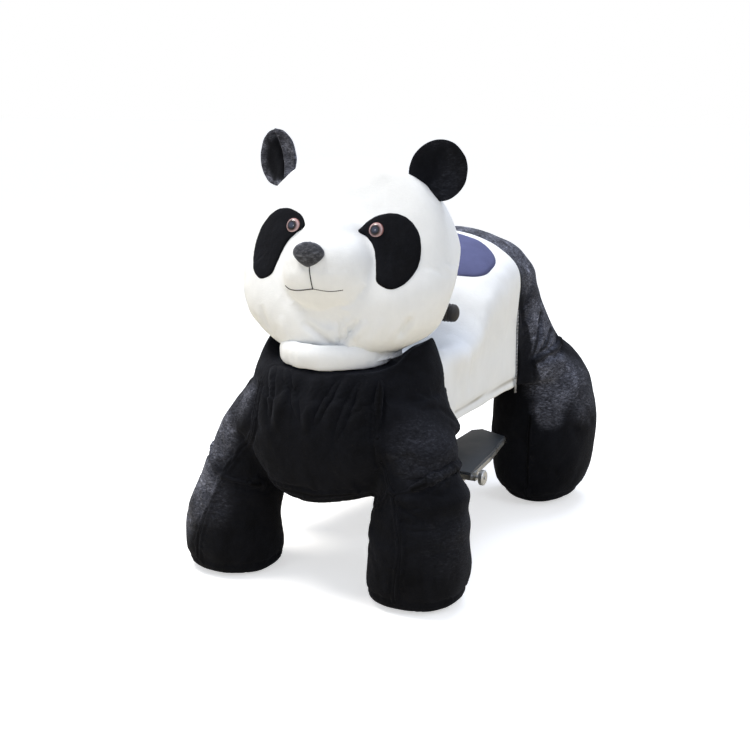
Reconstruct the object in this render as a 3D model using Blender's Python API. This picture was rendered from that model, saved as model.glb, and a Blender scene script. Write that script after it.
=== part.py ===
"""Plush electric ride-on panda: welded frame, steered front wheels, driven rear wheels, stuffed covers.

Metres, +Z up. The toy faces -Y and its own left side is +X. The origin lies on the floor, in the
middle between the front of the feet and the back of the rear legs.
"""

import math

import bmesh
import bpy
from mathutils import Matrix, Vector

# Clearances
GAP = 0.0004            # between pieces that touch
RUNNING = 0.0004        # radial, between a shaft and its bore
SKIN = 0.0005           # between a soft cover and what it lies on

# Wheelbase and track
FRONT_AXLE_Y = -0.36
REAR_AXLE_Y = 0.34
HALF_TRACK = 0.205

# Front wheels and their forks
FRONT_WHEEL_RADIUS = 0.0625
FRONT_WHEEL_WIDTH = 0.034
FRONT_STUB_RADIUS = 0.005
FRONT_HUB_RADIUS = 0.014
FORK_PLATE = 0.006
FORK_DEPTH = 0.026
FORK_SIDE_CLEARANCE = 0.003
FORK_TOP_CLEARANCE = 0.008
KINGPIN_RADIUS = 0.008
KINGPIN_TUBE_RADIUS = 0.017
STEER_ARM = 0.042
STEER_ARM_WIDTH = 0.018
STEER_ARM_THICKNESS = 0.008
LINK_PIN_RADIUS = 0.004
LINK_PIN_OVERLAP = 0.002
LINK_ROOM = 0.005       # between the front beam and the tie rod above it
TIE_ROD_THICKNESS = 0.009
TIE_ROD_HALF_DEPTH = 0.005
TIE_ROD_LEG_HALF_WIDTH = 0.006
FORK_PLATE_DROP = 0.012
CROWN_OVERHANG = 0.012
STUB_NUT_RADIUS = 0.009
STUB_NUT_THICKNESS = 0.004
STUB_NUT_GAP = 0.001

# Rear wheels and their drive
REAR_WHEEL_RADIUS = 0.070
REAR_RIM_RADIUS = 0.052
REAR_WHEEL_WIDTH = 0.036
REAR_WHEEL_X = 0.210
REAR_AXLE_RADIUS = 0.006
WHEEL_SIDES = 20
RIM_WEB_HALF = 0.007
RIM_HUB_RADIUS = 0.020
TYRE_SHOULDER = 0.008
GEAR_MODULE = 0.003
WHEEL_GEAR_TEETH = 30
PINION_TEETH = 10
GEAR_WIDTH = 0.010
TOOTH_FACE_GAP = 0.0006
PINION_SHAFT_RADIUS = 0.003
CASING_THICKNESS = 0.025
CASING_HALF_DEPTH = 0.026
CASING_ABOVE_PINION = 0.038
MOTOR_RADIUS = 0.018
MOTOR_LENGTH = 0.036

# Frame
SPINE_Z = 0.325
SPINE_HEIGHT = 0.030
SPINE_WIDTH = 0.060
BEAM_Z = 0.227
BEAM_HEIGHT = 0.030
BEAM_OVERHANG = 0.011
BEAM_HALF_LENGTH = HALF_TRACK + BEAM_OVERHANG
YOKE_HALF_WIDTH = 0.060
UPRIGHT_INNER = 0.034
UPRIGHT_THICKNESS = 0.010
YOKE_REACH = 0.040
REAR_BEAM_DEPTH = 0.040
REAR_BEAM_HALF_LENGTH = 0.182
REAR_POST_SIZE = 0.030
STEM_Y = -0.28
STEM_RADIUS = 0.011
HEAD_TUBE_RADIUS = 0.019
HEAD_TUBE_BOTTOM = 0.275
HEAD_TUBE_TOP = 0.375
STEM_TOP = 0.700
STEM_ROOT_STEP = 0.005
STOP_COLLAR_STEP = 0.006
STOP_COLLAR_HEIGHT = 0.012

# Handlebar
BAR_Y = -0.175
BAR_Z = 0.513
BAR_RADIUS = 0.011
BAR_HALF_LENGTH = 0.192
GRIP_RADIUS = 0.017
GRIP_LENGTH = 0.094
GRIP_END_WALL = 0.006
GRIP_FLANGE = 0.004
CLAMP_HALF_WIDTH = 0.016
CLAMP_HALF_HEIGHT = 0.013
CLAMP_IN_FRONT = 0.018
THROTTLE_X = -0.088
THROTTLE_HOUSING_RADIUS = 0.019
THROTTLE_HOUSING_LENGTH = 0.030
THROTTLE_RADIUS = 0.007
THROTTLE_TRAVEL = 0.003
THROTTLE_WELL_DEPTH = 0.011
THROTTLE_PROUD = 0.005

# Seat
SEAT_BOARD_Z = 0.520
SEAT_BOARD_THICKNESS = 0.012
SEAT_BOARD_HALF_WIDTH = 0.120
SEAT_BOARD_FRONT = -0.022
SEAT_BOARD_REAR = 0.128
SEAT_POST_RADIUS = 0.015
SEAT_POST_FRONT_Y = -0.005
SEAT_POST_REAR_Y = 0.110

# Electrics
BATTERY_SIZE = (0.151, 0.065, 0.094)
BATTERY_Y = 0.052
CONTROL_BOX_SIZE = (0.100, 0.070, 0.030)
CONTROL_BOX_Y = -0.12
PANEL_SIZE = (0.080, 0.026, 0.040)
BUTTON_RADIUS = 0.008
BUTTON_TRAVEL = 0.004
BUTTON_PROUD = 0.007
BUTTON_WELL_DEPTH = 0.014
SOCKET_RADIUS = 0.010
SOCKET_BOSS_DROP = 0.006
SOCKET_DEPTH = 0.010
PANEL_FITTING_X = 0.020

# Footrests
FOOTREST_Y = -0.12
FOOTREST_TOP = 0.200
FOOTREST_PLATE = 0.010
FOOTREST_TREAD = 0.004
FOOTREST_BAR_RADIUS = 0.0125
FOOTREST_BAR_HALF_LENGTH = 0.195
FOOTREST_POST_SIZE = 0.028
FOOTREST_OUTLINE = ((0.112, -0.185), (0.112, 0.112), (0.130, 0.130), (0.198, 0.096),
                    (0.222, -0.050), (0.234, -0.185))
TREAD_INSET = 0.004
ROLLER_RADIUS = 0.0155
ROLLER_WIDTH = 0.010
ROLLER_Y = -0.151
ROLLER_Z = 0.183
ROLLER_X = 0.2455
ROLLER_PIN_RADIUS = 0.003
ROLLER_EDGE = 0.002
ROLLER_SIDE_GAP = 0.001
ROLLER_LUG_SIZE = (0.018, 0.016, 0.018)

# Covers
WALL = 0.012
LEG_TOP = 0.2000
THIGH_TOP = 0.300
TORSO_HEM = 0.300
TORSO_HALF_WIDTH = 0.200
TORSO_REAR = 0.140
TORSO_FRONT_LOW = -0.190
TORSO_FRONT_LEAN = -0.225
NECK_Y = -0.300
NECK_TILT = 0.10
NECK_HOLE_RADIUS = 0.040

# Torso: height of the middle along Y, share of the shoulder drop along Y, the hollow under the head, and
# the section as shares of the half width with their drops from the middle
TOP_LINE = ((-0.235, 0.470), (-0.130, 0.477), (-0.095, 0.486), (-0.060, 0.518), (-0.030, 0.556),
            (0.010, 0.594), (0.050, 0.614), (0.095, 0.625), (0.140, 0.630))
SHOULDER = ((-0.160, 0.20), (-0.060, 0.65), (0.050, 1.00))
NECK_HOLLOW = ((-0.235, 0.042), (-0.160, 0.032), (-0.130, 0.014), (-0.095, 0.0))
NECK_HOLLOW_INNER = 0.090
NECK_HOLLOW_OUTER = 0.185
FRONT_TAPER = (0.13, 0.06, 0.0)
FRONT_RING_STEP = 0.004
ARCH = ((1.00, 0.34), (1.00, 0.125), (1.02, 0.097), (0.95, 0.069), (0.84, 0.046), (0.675, 0.028),
        (0.50, 0.015), (0.30, 0.007), (0.10, 0.001))

# Zip at the torso's left rear hem
ZIP_Y = 0.130
ZIP_Z = 0.322
ZIP_PIN_OUT = 0.0045
ZIP_PIN_RADIUS = 0.0008
ZIP_TAB_THICKNESS = 0.0036
ZIP_TAB_LENGTH = 0.032

# Sewn-on patches: the thickness of all, and the oval one on the seat
PATCH_THICKNESS = 0.003
SEAT_PATCH_CENTRE_Y = 0.024
SEAT_PATCH_HALF_LENGTH = 0.072
SEAT_PATCH_HALF_WIDTH = 0.187

# Chest rows: height, half width, front, rear, squareness in front and behind
CHEST = (
    (0.1780, 0.074, -0.415, -0.268, 2.3, 3.3), (0.1815, 0.090, -0.429, -0.258, 2.3, 3.3),
    (0.1890, 0.097, -0.438, -0.250, 2.3, 3.3), (LEG_TOP, 0.099, -0.442, -0.240, 2.3, 3.3),
    (LEG_TOP + 0.0006, HALF_TRACK + 0.066, -0.447, -0.225, 4.5, 2.6),
    (0.240, HALF_TRACK + 0.058, -0.452, -0.205, 3.1, 2.6), (0.280, HALF_TRACK + 0.045, -0.453, -0.198, 2.6, 2.8),
    (0.310, 0.240, -0.451, -0.170, 2.3, 3.3), (0.350, 0.219, -0.446, -0.160, 2.2, 3.3),
    (0.385, 0.199, -0.436, -0.160, 2.2, 3.3), (0.408, 0.184, -0.422, -0.160, 2.2, 3.3),
    (0.424, 0.170, -0.406, -0.165, 2.2, 3.3))
CHEST_MIDDLE = -0.27
CHEST_LOWEST_HOLLOW = 4      # the first row that is as wide as both legs
CHEST_TILT_FROM = 0.33
SHOULDER_RISE = 0.040
SHOULDER_RISE_ACROSS = (0.090, 0.155)
SHOULDER_RISE_ALONG = (-0.36, -0.24)
SHOULDER_RISE_FROM = 0.36
LEG_HOLE_RADIUS = 0.048
LEG_HOLE_INWARD = 0.008

# Rump rows: height, middle, half width, reach to the front and to the rear
RUMP = (
    (THIGH_TOP + 0.0005, 0.310, 0.286, 0.222, 0.145), (0.330, 0.310, 0.262, 0.232, 0.1455),
    (0.370, 0.300, 0.238, 0.250, 0.152), (0.420, 0.280, 0.214, 0.300, 0.162),
    (0.462, 0.250, 0.203, 0.400, 0.181), (0.510, 0.200, 0.201, 0.500, 0.210),
    (0.543, 0.170, 0.203, 0.500, 0.220), (0.568, 0.140, 0.190, 0.300, 0.230),
    (0.589, 0.140, 0.168, 0.300, 0.210), (0.605, 0.140, 0.135, 0.300, 0.184),
    (0.617, 0.140, 0.100, 0.300, 0.152), (0.625, 0.140, 0.060, 0.300, 0.118),
    (0.630, 0.140, 0.020, 0.300, 0.075))
RUMP_POWER = 2.4
TAIL_RADII = (0.034, 0.030, 0.036)
TAIL_Z = 0.400
TAIL_SUNK = 0.0208      # from the back of the rump in to the tail's centre

# Front leg rows: height, distance from the wheel's middle, radius, shift to the rear
FRONT_LEG = (
    (0.005, -0.005, 0.0760, 0.0), (0.017, -0.004, 0.0890, 0.0), (0.034, -0.002, 0.0945, 0.0),
    (0.058, -0.001, 0.0970, 0.0), (0.100, -0.002, 0.0960, 0.0), (0.150, -0.005, 0.0930, 0.004),
    (0.180, -0.011, 0.0870, 0.006), (LEG_TOP - GAP, -0.015, 0.0815, 0.008))
FRONT_LEG_INSIDE = (
    (0.005, 0.060), (0.020, 0.070), (0.058, 0.0755), (0.100, 0.0755), (0.134, 0.071), (0.160, 0.056),
    (LEG_TOP - GAP, 0.050))
FRONT_LEG_POWER = 2.15
FRONT_KNEE_Z = 0.150

# Rear leg rows: height, distance from the wheel's middle, half width, front and rear reach
REAR_LEG = (
    (0.005, -0.014, 0.086, 0.104, 0.0740), (0.022, -0.012, 0.101, 0.120, 0.0910),
    (0.050, -0.008, 0.110, 0.128, 0.1010), (0.108, -0.005, 0.117, 0.133, 0.1120),
    (0.193, -0.004, 0.119, 0.132, 0.1170), (0.250, -0.010, 0.113, 0.128, 0.1172),
    (THIGH_TOP, -0.021, 0.098, 0.118, 0.1130))
REAR_LEG_INSIDE = (
    (0.005, -0.005, 0.066, 0.060), (0.022, -0.005, 0.074, 0.076), (0.050, -0.005, 0.083, 0.088),
    (0.108, -0.005, 0.091, 0.096), (0.193, -0.005, 0.092, 0.100), (0.250, -0.019, 0.091, 0.103),
    (THIGH_TOP, -0.019, 0.080, 0.098))
REAR_LEG_POWER = 2.2

# Head rows: height, half width, front and rear
HEAD = (
    (0.4340, 0.070, -0.340, -0.240), (0.4480, 0.112, -0.362, -0.228), (0.4700, 0.160, -0.376, -0.213),
    (0.5000, 0.196, -0.380, -0.203), (0.5400, 0.217, -0.378, -0.203), (0.5650, 0.222, -0.373, -0.190),
    (0.5900, 0.223, -0.364, -0.140), (0.6200, 0.221, -0.347, -0.105), (0.6600, 0.212, -0.325, -0.090),
    (0.7000, 0.196, -0.302, -0.095), (0.7350, 0.172, -0.286, -0.112), (0.7650, 0.141, -0.272, -0.135),
    (0.7900, 0.100, -0.258, -0.165), (0.8030, 0.055, -0.242, -0.190))
EYE_PATCH_OUTLINE = (
    (0.066, 0.694), (0.088, 0.710), (0.120, 0.713), (0.148, 0.698), (0.166, 0.661), (0.166, 0.620),
    (0.150, 0.588), (0.126, 0.580), (0.106, 0.594), (0.094, 0.620), (0.087, 0.645), (0.074, 0.670))
MUZZLE_REACH = 0.068
MUZZLE_Z = 0.632
MUZZLE_HALF_WIDTH = 0.066
MUZZLE_HALF_HEIGHT = 0.055
EYE_X = 0.088
EYE_Z = 0.681
EYE_RADIUS = 0.0155
NOSE_Z = 0.643
NOSE_SIZE = (0.030, 0.020, 0.0215)
EAR_X = 0.177
EAR_Y = -0.226
EAR_Z = 0.794
EAR_RADIUS = 0.054
EAR_YAW = 20.0
EAR_LEAN = 30.0
EAR_THICKNESS = 0.020
EAR_CUP = 0.012
EAR_CROWN = 0.004
COLLAR_RADIUS = 0.108
COLLAR_HEIGHT = 0.040
COLLAR_WALL = 0.016
COLLAR_EDGE = 0.005
COLLAR_Z = 0.454
COLLAR_LIFT = 0.008
COLLAR_TURN_ROOM = 0.011
COLLAR_FLARE = 0.064
STEER_CENTRE = Vector((0.0, STEM_Y, 0.0))
HEAD_MIDDLE = ((0.5799, -0.262), (0.58, -0.245))
HEAD_POWER = 2.2
FACE_FRONT = -0.42


def clear_scene():
    for old in list(bpy.data.objects):
        bpy.data.objects.remove(old, do_unlink=True)


def material(name, colour, roughness, metallic=0.0):
    made = bpy.data.materials.new(name)
    made.use_nodes = True
    shader = made.node_tree.nodes["Principled BSDF"]
    shader.inputs["Base Color"].default_value = (*colour, 1.0)
    shader.inputs["Roughness"].default_value = roughness
    shader.inputs["Metallic"].default_value = metallic
    return made


def add_object(name, bm, finish=None, sharp=35.0, where=(0.0, 0.0, 0.0)):
    """A mesh object whose origin is moved to a point of its joint or to the frame's origin."""
    bmesh.ops.recalc_face_normals(bm, faces=bm.faces)
    place = Vector(where)
    bmesh.ops.translate(bm, verts=bm.verts, vec=-place)
    mesh = bpy.data.meshes.new(name)
    bm.to_mesh(mesh)
    bm.free()
    mesh.shade_smooth()
    mesh.set_sharp_from_angle(angle=math.radians(sharp))
    made = bpy.data.objects.new(name, mesh)
    made.location = place
    if finish is not None:
        mesh.materials.append(finish)
    bpy.context.scene.collection.objects.link(made)
    return made


def combine(name, finish, first, join=(), cut=(), keep=(), sharp=35.0, where=(0.0, 0.0, 0.0)):
    """One solid from several: the first with others joined to it, cut away from it, or shared with it."""
    base = add_object(name + "_base", first)
    helpers = []
    for operation, shapes in (("UNION", join), ("DIFFERENCE", cut), ("INTERSECT", keep)):
        for shape in shapes:
            helper = add_object(name + "_helper", shape)
            helper.hide_render = True
            helper.display_type = "WIRE"
            helpers.append(helper)
            boolean = base.modifiers.new(operation.title(), "BOOLEAN")
            boolean.operation = operation
            boolean.solver = "EXACT"
            boolean.object = helper
    bpy.context.view_layer.update()
    evaluated = base.evaluated_get(bpy.context.evaluated_depsgraph_get())
    result = bmesh.new()
    result.from_mesh(evaluated.to_mesh())
    evaluated.to_mesh_clear()
    for spent in [base, *helpers]:
        bpy.data.objects.remove(spent, do_unlink=True)
    bmesh.ops.dissolve_degenerate(result, edges=result.edges, dist=1e-6)
    bmesh.ops.triangulate(result, faces=[face for face in result.faces if len(face.verts) > 4])
    return add_object(name, result, finish, sharp, where)


def box(low, high):
    bm = bmesh.new()
    bmesh.ops.create_cube(bm, size=1.0)
    size = Vector(high) - Vector(low)
    bmesh.ops.scale(bm, verts=bm.verts, vec=size)
    bmesh.ops.translate(bm, verts=bm.verts, vec=(Vector(low) + Vector(high)) / 2)
    return bm


def centred_box(centre, size):
    half = Vector(size) / 2
    return box(Vector(centre) - half, Vector(centre) + half)


def rod(start, end, radius, segments=14, end_radius=None):
    """A solid cylinder or cone between two points."""
    start, end = Vector(start), Vector(end)
    along = end - start
    bm = bmesh.new()
    bmesh.ops.create_cone(bm, cap_ends=True, segments=segments, radius1=radius,
                          radius2=radius if end_radius is None else end_radius, depth=along.length)
    turn = Vector((0, 0, 1)).rotation_difference(along).to_matrix().to_4x4()
    bmesh.ops.transform(bm, verts=bm.verts, matrix=Matrix.Translation((start + end) / 2) @ turn)
    return bm


def ellipsoid(centre, radii, segments=16, rings=10):
    bm = bmesh.new()
    bmesh.ops.create_uvsphere(bm, u_segments=segments, v_segments=rings, radius=1.0)
    bmesh.ops.scale(bm, verts=bm.verts, vec=radii)
    bmesh.ops.translate(bm, verts=bm.verts, vec=centre)
    return bm


def turned(profile, axis_point, axis, segments=28):
    """A ring turned from a closed profile of (along the axis, radius) points."""
    bm = bmesh.new()
    rows = []
    for step in range(segments):
        angle = math.tau * step / segments
        rows.append([bm.verts.new((r * math.cos(angle), r * math.sin(angle), a)) for a, r in profile])
    for row, after in zip(rows, rows[1:] + rows[:1]):
        for i in range(len(profile)):
            j = (i + 1) % len(profile)
            bm.faces.new((row[i], row[j], after[j], after[i]))
    turn = Vector((0, 0, 1)).rotation_difference(Vector(axis)).to_matrix().to_4x4()
    bmesh.ops.transform(bm, verts=bm.verts, matrix=Matrix.Translation(axis_point) @ turn)
    return bm


def prism(outline, low, high, axis="Z"):
    """A flat outline extruded along one axis, with the outline in the other two."""
    bm = bmesh.new()
    order = {"Z": (0, 1, 2), "X": (2, 0, 1), "Y": (0, 2, 1)}[axis]
    ends = []
    for depth in (low, high):
        corners = [(u, v, depth) for u, v in outline]
        ends.append([bm.verts.new([corner[i] for i in order]) for corner in corners])
    bottom, top = ends
    bm.faces.new(bottom[::-1])
    bm.faces.new(top)
    for i in range(len(outline)):
        j = (i + 1) % len(outline)
        bm.faces.new((bottom[i], bottom[j], top[j], top[i]))
    return bm


def loft(rings, capped=True):
    """A skin over rings of equal count, capped at both ends or closed from the last ring to the first."""
    bm = bmesh.new()
    rows = [[bm.verts.new(point) for point in ring] for ring in rings]
    pairs = list(zip(rows, rows[1:]))
    if capped:
        bm.faces.new(rows[0][::-1])
        bm.faces.new(rows[-1])
    else:
        pairs.append((rows[-1], rows[0]))
    for row, after in pairs:
        for i in range(len(row)):
            j = (i + 1) % len(row)
            bm.faces.new((row[i], row[j], after[j]))
            bm.faces.new((row[i], after[j], after[i]))
    return bm


def oval(z, centre_x, centre_y, half_width, front, rear, power, count, rear_power=None):
    """A level superellipse: half_width to each side, front towards -Y and rear towards +Y."""
    ring = []
    for step in range(count):
        angle = math.tau * (step + 0.5) / count
        c, s = math.cos(angle), math.sin(angle)
        used = rear_power if rear_power and s > 0 else power
        x = half_width * math.copysign(abs(c) ** (2 / used), c)
        y = (rear if s > 0 else front) * math.copysign(abs(s) ** (2 / used), s)
        ring.append((centre_x + x, centre_y + y, z))
    return ring


def ramp(value, low, high):
    """0 below low, 1 above high and straight between them."""
    return max(0.0, min(1.0, (value - low) / (high - low)))


def cut_corners(ring, limits):
    """Moves the points beyond a limiting Y to it, and each outermost one to where the outline crosses it."""
    placed = []
    for i, (x, y, z) in enumerate(ring):
        if y >= limits[i]:
            placed.append((x, y, z))
            continue
        for j in (i - 1, (i + 1) % len(ring)):
            if ring[j][1] > limits[j]:
                share = (limits[i] - y) / (ring[j][1] - y)
                x += (ring[j][0] - x) * share
                z += (ring[j][2] - z) * share
                break
        placed.append((x, limits[i], z))
    return placed


def between(table, value):
    """The value of a curve of straight pieces through (position, value) points."""
    if value <= table[0][0]:
        return table[0][1]
    for (a, low), (b, high) in zip(table, table[1:]):
        if value <= b:
            share = (value - a) / (b - a)
            return low + (high - low) * share
    return table[-1][1]


def grown(bm, distance):
    """The same closed skin moved outwards along its normals."""
    bmesh.ops.recalc_face_normals(bm, faces=bm.faces)
    bm.normal_update()
    moves = [(vert, vert.normal * distance) for vert in bm.verts]
    for vert, move in moves:
        vert.co += move
    return bm


def side_name(side):
    return "left" if side > 0 else "right"


# Frame

def beam_y():
    """The front beam fills the space between the kingpin tubes and the head tube."""
    front = FRONT_AXLE_Y + KINGPIN_TUBE_RADIUS + GAP
    rear = STEM_Y - HEAD_TUBE_RADIUS - GAP
    return front, rear


def arm_z():
    """Heights of the steering arms' undersides and of the tie rod's underside."""
    rod_low = BEAM_Z + BEAM_HEIGHT / 2 + LINK_ROOM
    arm_low = rod_low + TIE_ROD_THICKNESS + GAP
    return arm_low, rod_low


def make_spine(steel):
    low = SPINE_Z - SPINE_HEIGHT / 2
    high = SPINE_Z + SPINE_HEIGHT / 2
    front = beam_y()[1] + UPRIGHT_THICKNESS + GAP
    rear = REAR_AXLE_Y - REAR_BEAM_DEPTH / 2 - GAP
    tube = box((-SPINE_WIDTH / 2, front, low), (SPINE_WIDTH / 2, rear, high))
    yoke = box((-YOKE_HALF_WIDTH, front, low), (YOKE_HALF_WIDTH, STEM_Y + YOKE_REACH, high))
    notch = rod((0, STEM_Y, low - 0.01), (0, STEM_Y, high + 0.01), HEAD_TUBE_RADIUS + GAP, 20)
    return combine("spine_tube", steel, tube, join=[yoke], cut=[notch])


def make_front_beam(steel):
    front, rear = beam_y()
    low = BEAM_Z - BEAM_HEIGHT / 2
    beam = box((-BEAM_HALF_LENGTH, front, low), (BEAM_HALF_LENGTH, rear, low + BEAM_HEIGHT))
    uprights = [box((min(side * UPRIGHT_INNER, side * YOKE_HALF_WIDTH), rear - 0.001, low),
                    (max(side * UPRIGHT_INNER, side * YOKE_HALF_WIDTH), rear + UPRIGHT_THICKNESS,
                     SPINE_Z + SPINE_HEIGHT / 2)) for side in (1, -1)]
    return combine("front_crossmember", steel, beam, join=uprights)


def make_tube(name, steel, x, y, low, high, outer, inner, segments=16):
    profile = ((low, inner), (low, outer), (high, outer), (high, inner))
    return add_object(name, turned(profile, (x, y, 0), (0, 0, 1), segments), steel)


def kingpin_heights():
    """Bottom and top of the kingpin tube, above the fork's crown and below the steering arm."""
    crown_top = 2 * FRONT_WHEEL_RADIUS + FORK_TOP_CLEARANCE + FORK_PLATE
    return crown_top + GAP, arm_z()[0] - GAP


def make_rear_frame(steel):
    low = SPINE_Z - SPINE_HEIGHT / 2
    beam = box((-REAR_BEAM_HALF_LENGTH, REAR_AXLE_Y - REAR_BEAM_DEPTH / 2, low),
               (REAR_BEAM_HALF_LENGTH, REAR_AXLE_Y + REAR_BEAM_DEPTH / 2, low + SPINE_HEIGHT))
    add_object("rear_crossmember", beam, steel)
    casing_x = casing_faces()
    centre = (casing_x[0] + casing_x[1]) / 2
    for side in (1, -1):
        post = box((side * centre - REAR_POST_SIZE / 2, REAR_AXLE_Y - REAR_POST_SIZE / 2, casing_top() + GAP),
                   (side * centre + REAR_POST_SIZE / 2, REAR_AXLE_Y + REAR_POST_SIZE / 2, low - GAP))
        add_object("rear_post_" + side_name(side), post, steel)


def make_seat_stand(steel, plywood):
    low = SPINE_Z + SPINE_HEIGHT / 2 + GAP
    for name, y in (("seat_post_front", SEAT_POST_FRONT_Y), ("seat_post_rear", SEAT_POST_REAR_Y)):
        add_object(name, rod((0, y, low), (0, y, SEAT_BOARD_Z - GAP), SEAT_POST_RADIUS), steel)
    board = box((-SEAT_BOARD_HALF_WIDTH, SEAT_BOARD_FRONT, SEAT_BOARD_Z),
                (SEAT_BOARD_HALF_WIDTH, SEAT_BOARD_REAR, SEAT_BOARD_Z + SEAT_BOARD_THICKNESS))
    add_object("seat_board", board, plywood)


def make_footrests(steel, rubber, hub_finish):
    tube_z = FOOTREST_TOP - FOOTREST_TREAD - FOOTREST_PLATE - 2 * GAP - FOOTREST_BAR_RADIUS
    tube = rod((-FOOTREST_BAR_HALF_LENGTH, FOOTREST_Y, tube_z), (FOOTREST_BAR_HALF_LENGTH, FOOTREST_Y, tube_z),
               FOOTREST_BAR_RADIUS, 16)
    post = box((-FOOTREST_POST_SIZE / 2, FOOTREST_Y - FOOTREST_POST_SIZE / 2, tube_z),
               (FOOTREST_POST_SIZE / 2, FOOTREST_Y + FOOTREST_POST_SIZE / 2, SPINE_Z - SPINE_HEIGHT / 2 - GAP))
    combine("footrest_bar", steel, tube, join=[post])
    plate_low = FOOTREST_TOP - FOOTREST_TREAD - GAP - FOOTREST_PLATE
    middle_x = sum(x for x, _ in FOOTREST_OUTLINE) / len(FOOTREST_OUTLINE)
    middle_y = sum(y for _, y in FOOTREST_OUTLINE) / len(FOOTREST_OUTLINE)
    for side in (1, -1):
        outline = [(side * x, y) for x, y in FOOTREST_OUTLINE]
        inner = []
        for x, y in FOOTREST_OUTLINE:
            inward = Vector((middle_x - x, middle_y - y)).normalized() * TREAD_INSET
            inner.append((side * (x + inward.x), y + inward.y))
        plate = prism(outline, plate_low, plate_low + FOOTREST_PLATE)
        roller_inner = ROLLER_X - ROLLER_WIDTH / 2 - ROLLER_SIDE_GAP
        pin = rod((side * (roller_inner - 0.03), ROLLER_Y, ROLLER_Z),
                  (side * (ROLLER_X + ROLLER_WIDTH / 2 + 0.0015), ROLLER_Y, ROLLER_Z), ROLLER_PIN_RADIUS, 14)
        lug = centred_box((side * (roller_inner - 0.015), ROLLER_Y, ROLLER_Z + 0.002), ROLLER_LUG_SIZE)
        combine("footrest_plate_" + side_name(side), steel, plate, join=[lug, pin])
        tread = prism(inner, FOOTREST_TOP - FOOTREST_TREAD, FOOTREST_TOP)
        add_object("footrest_tread_" + side_name(side), tread, rubber)
        half = ROLLER_WIDTH / 2
        bore = ROLLER_PIN_RADIUS + RUNNING
        profile = ((-half, bore), (-half, ROLLER_RADIUS - ROLLER_EDGE), (-half + ROLLER_EDGE, ROLLER_RADIUS),
                   (half - ROLLER_EDGE, ROLLER_RADIUS), (half, ROLLER_RADIUS - ROLLER_EDGE), (half, bore))
        place = (side * ROLLER_X, ROLLER_Y, ROLLER_Z)
        add_object("roller_" + side_name(side), turned(profile, place, (1, 0, 0), 18), hub_finish, where=place)


# Steering

def make_fork(side, steel):
    arm_low = arm_z()[0]
    x, y, z = side * HALF_TRACK, FRONT_AXLE_Y, FRONT_WHEEL_RADIUS
    inner = side * (HALF_TRACK - FRONT_WHEEL_WIDTH / 2 - FORK_SIDE_CLEARANCE)
    plate_far = inner - side * FORK_PLATE
    crown_low = 2 * FRONT_WHEEL_RADIUS + FORK_TOP_CLEARANCE
    crown_far = x + side * CROWN_OVERHANG
    crown = box((min(plate_far, crown_far), y - FORK_DEPTH / 2, crown_low),
                (max(plate_far, crown_far), y + FORK_DEPTH / 2, crown_low + FORK_PLATE))
    plate = box((min(inner, plate_far), y - FORK_DEPTH / 2, z - FORK_PLATE_DROP),
                (max(inner, plate_far), y + FORK_DEPTH / 2, crown_low + FORK_PLATE))
    arm_top = arm_low + STEER_ARM_THICKNESS
    kingpin = rod((x, y, crown_low), (x, y, arm_top), KINGPIN_RADIUS, 16)
    outer_face = x + side * (FRONT_WHEEL_WIDTH / 2 + STUB_NUT_GAP)
    nut_end = outer_face + side * STUB_NUT_THICKNESS
    stub = rod((plate_far, y, z), (nut_end, y, z), FRONT_STUB_RADIUS, 14)
    nut = rod((outer_face, y, z), (nut_end, y, z), STUB_NUT_RADIUS, 6)
    arm = box((x - STEER_ARM_WIDTH / 2, y, arm_low), (x + STEER_ARM_WIDTH / 2, y + STEER_ARM, arm_top))
    arm_ends = [rod((x, y + reach, arm_low), (x, y + reach, arm_top), STEER_ARM_WIDTH / 2 - 0.0001, 14)
                for reach in (0.0, STEER_ARM)]
    pin_y = y + STEER_ARM
    pin_low = arm_z()[1] - LINK_PIN_OVERLAP
    pin = rod((x, pin_y, pin_low), (x, pin_y, arm_low + LINK_PIN_OVERLAP), LINK_PIN_RADIUS, 16)
    return combine("fork_" + side_name(side), steel, crown,
                   join=[plate, kingpin, stub, nut, arm, *arm_ends, pin], where=(x, y, 0))


def make_tie_rod(steel):
    low = arm_z()[1]
    high = low + TIE_ROD_THICKNESS
    y = FRONT_AXLE_Y + STEER_ARM
    pitman_y = STEM_Y + STEER_ARM
    eye = STEER_ARM_WIDTH / 2
    bar = box((-HALF_TRACK, y - TIE_ROD_HALF_DEPTH, low), (HALF_TRACK, y + TIE_ROD_HALF_DEPTH, high))
    leg = box((-TIE_ROD_LEG_HALF_WIDTH, y, low), (TIE_ROD_LEG_HALF_WIDTH, pitman_y, high))
    spots = ((-HALF_TRACK, y), (HALF_TRACK, y), (0.0, pitman_y))
    eyes = [rod((px, py, low), (px, py, high), eye, 14) for px, py in spots]
    bore = LINK_PIN_RADIUS + RUNNING
    holes = [rod((px, py, low - 0.01), (px, py, high + 0.01), bore, 16) for px, py in spots]
    return combine("tie_rod", steel, bar, join=[leg, *eyes], cut=holes, where=(HALF_TRACK, y, 0))


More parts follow.
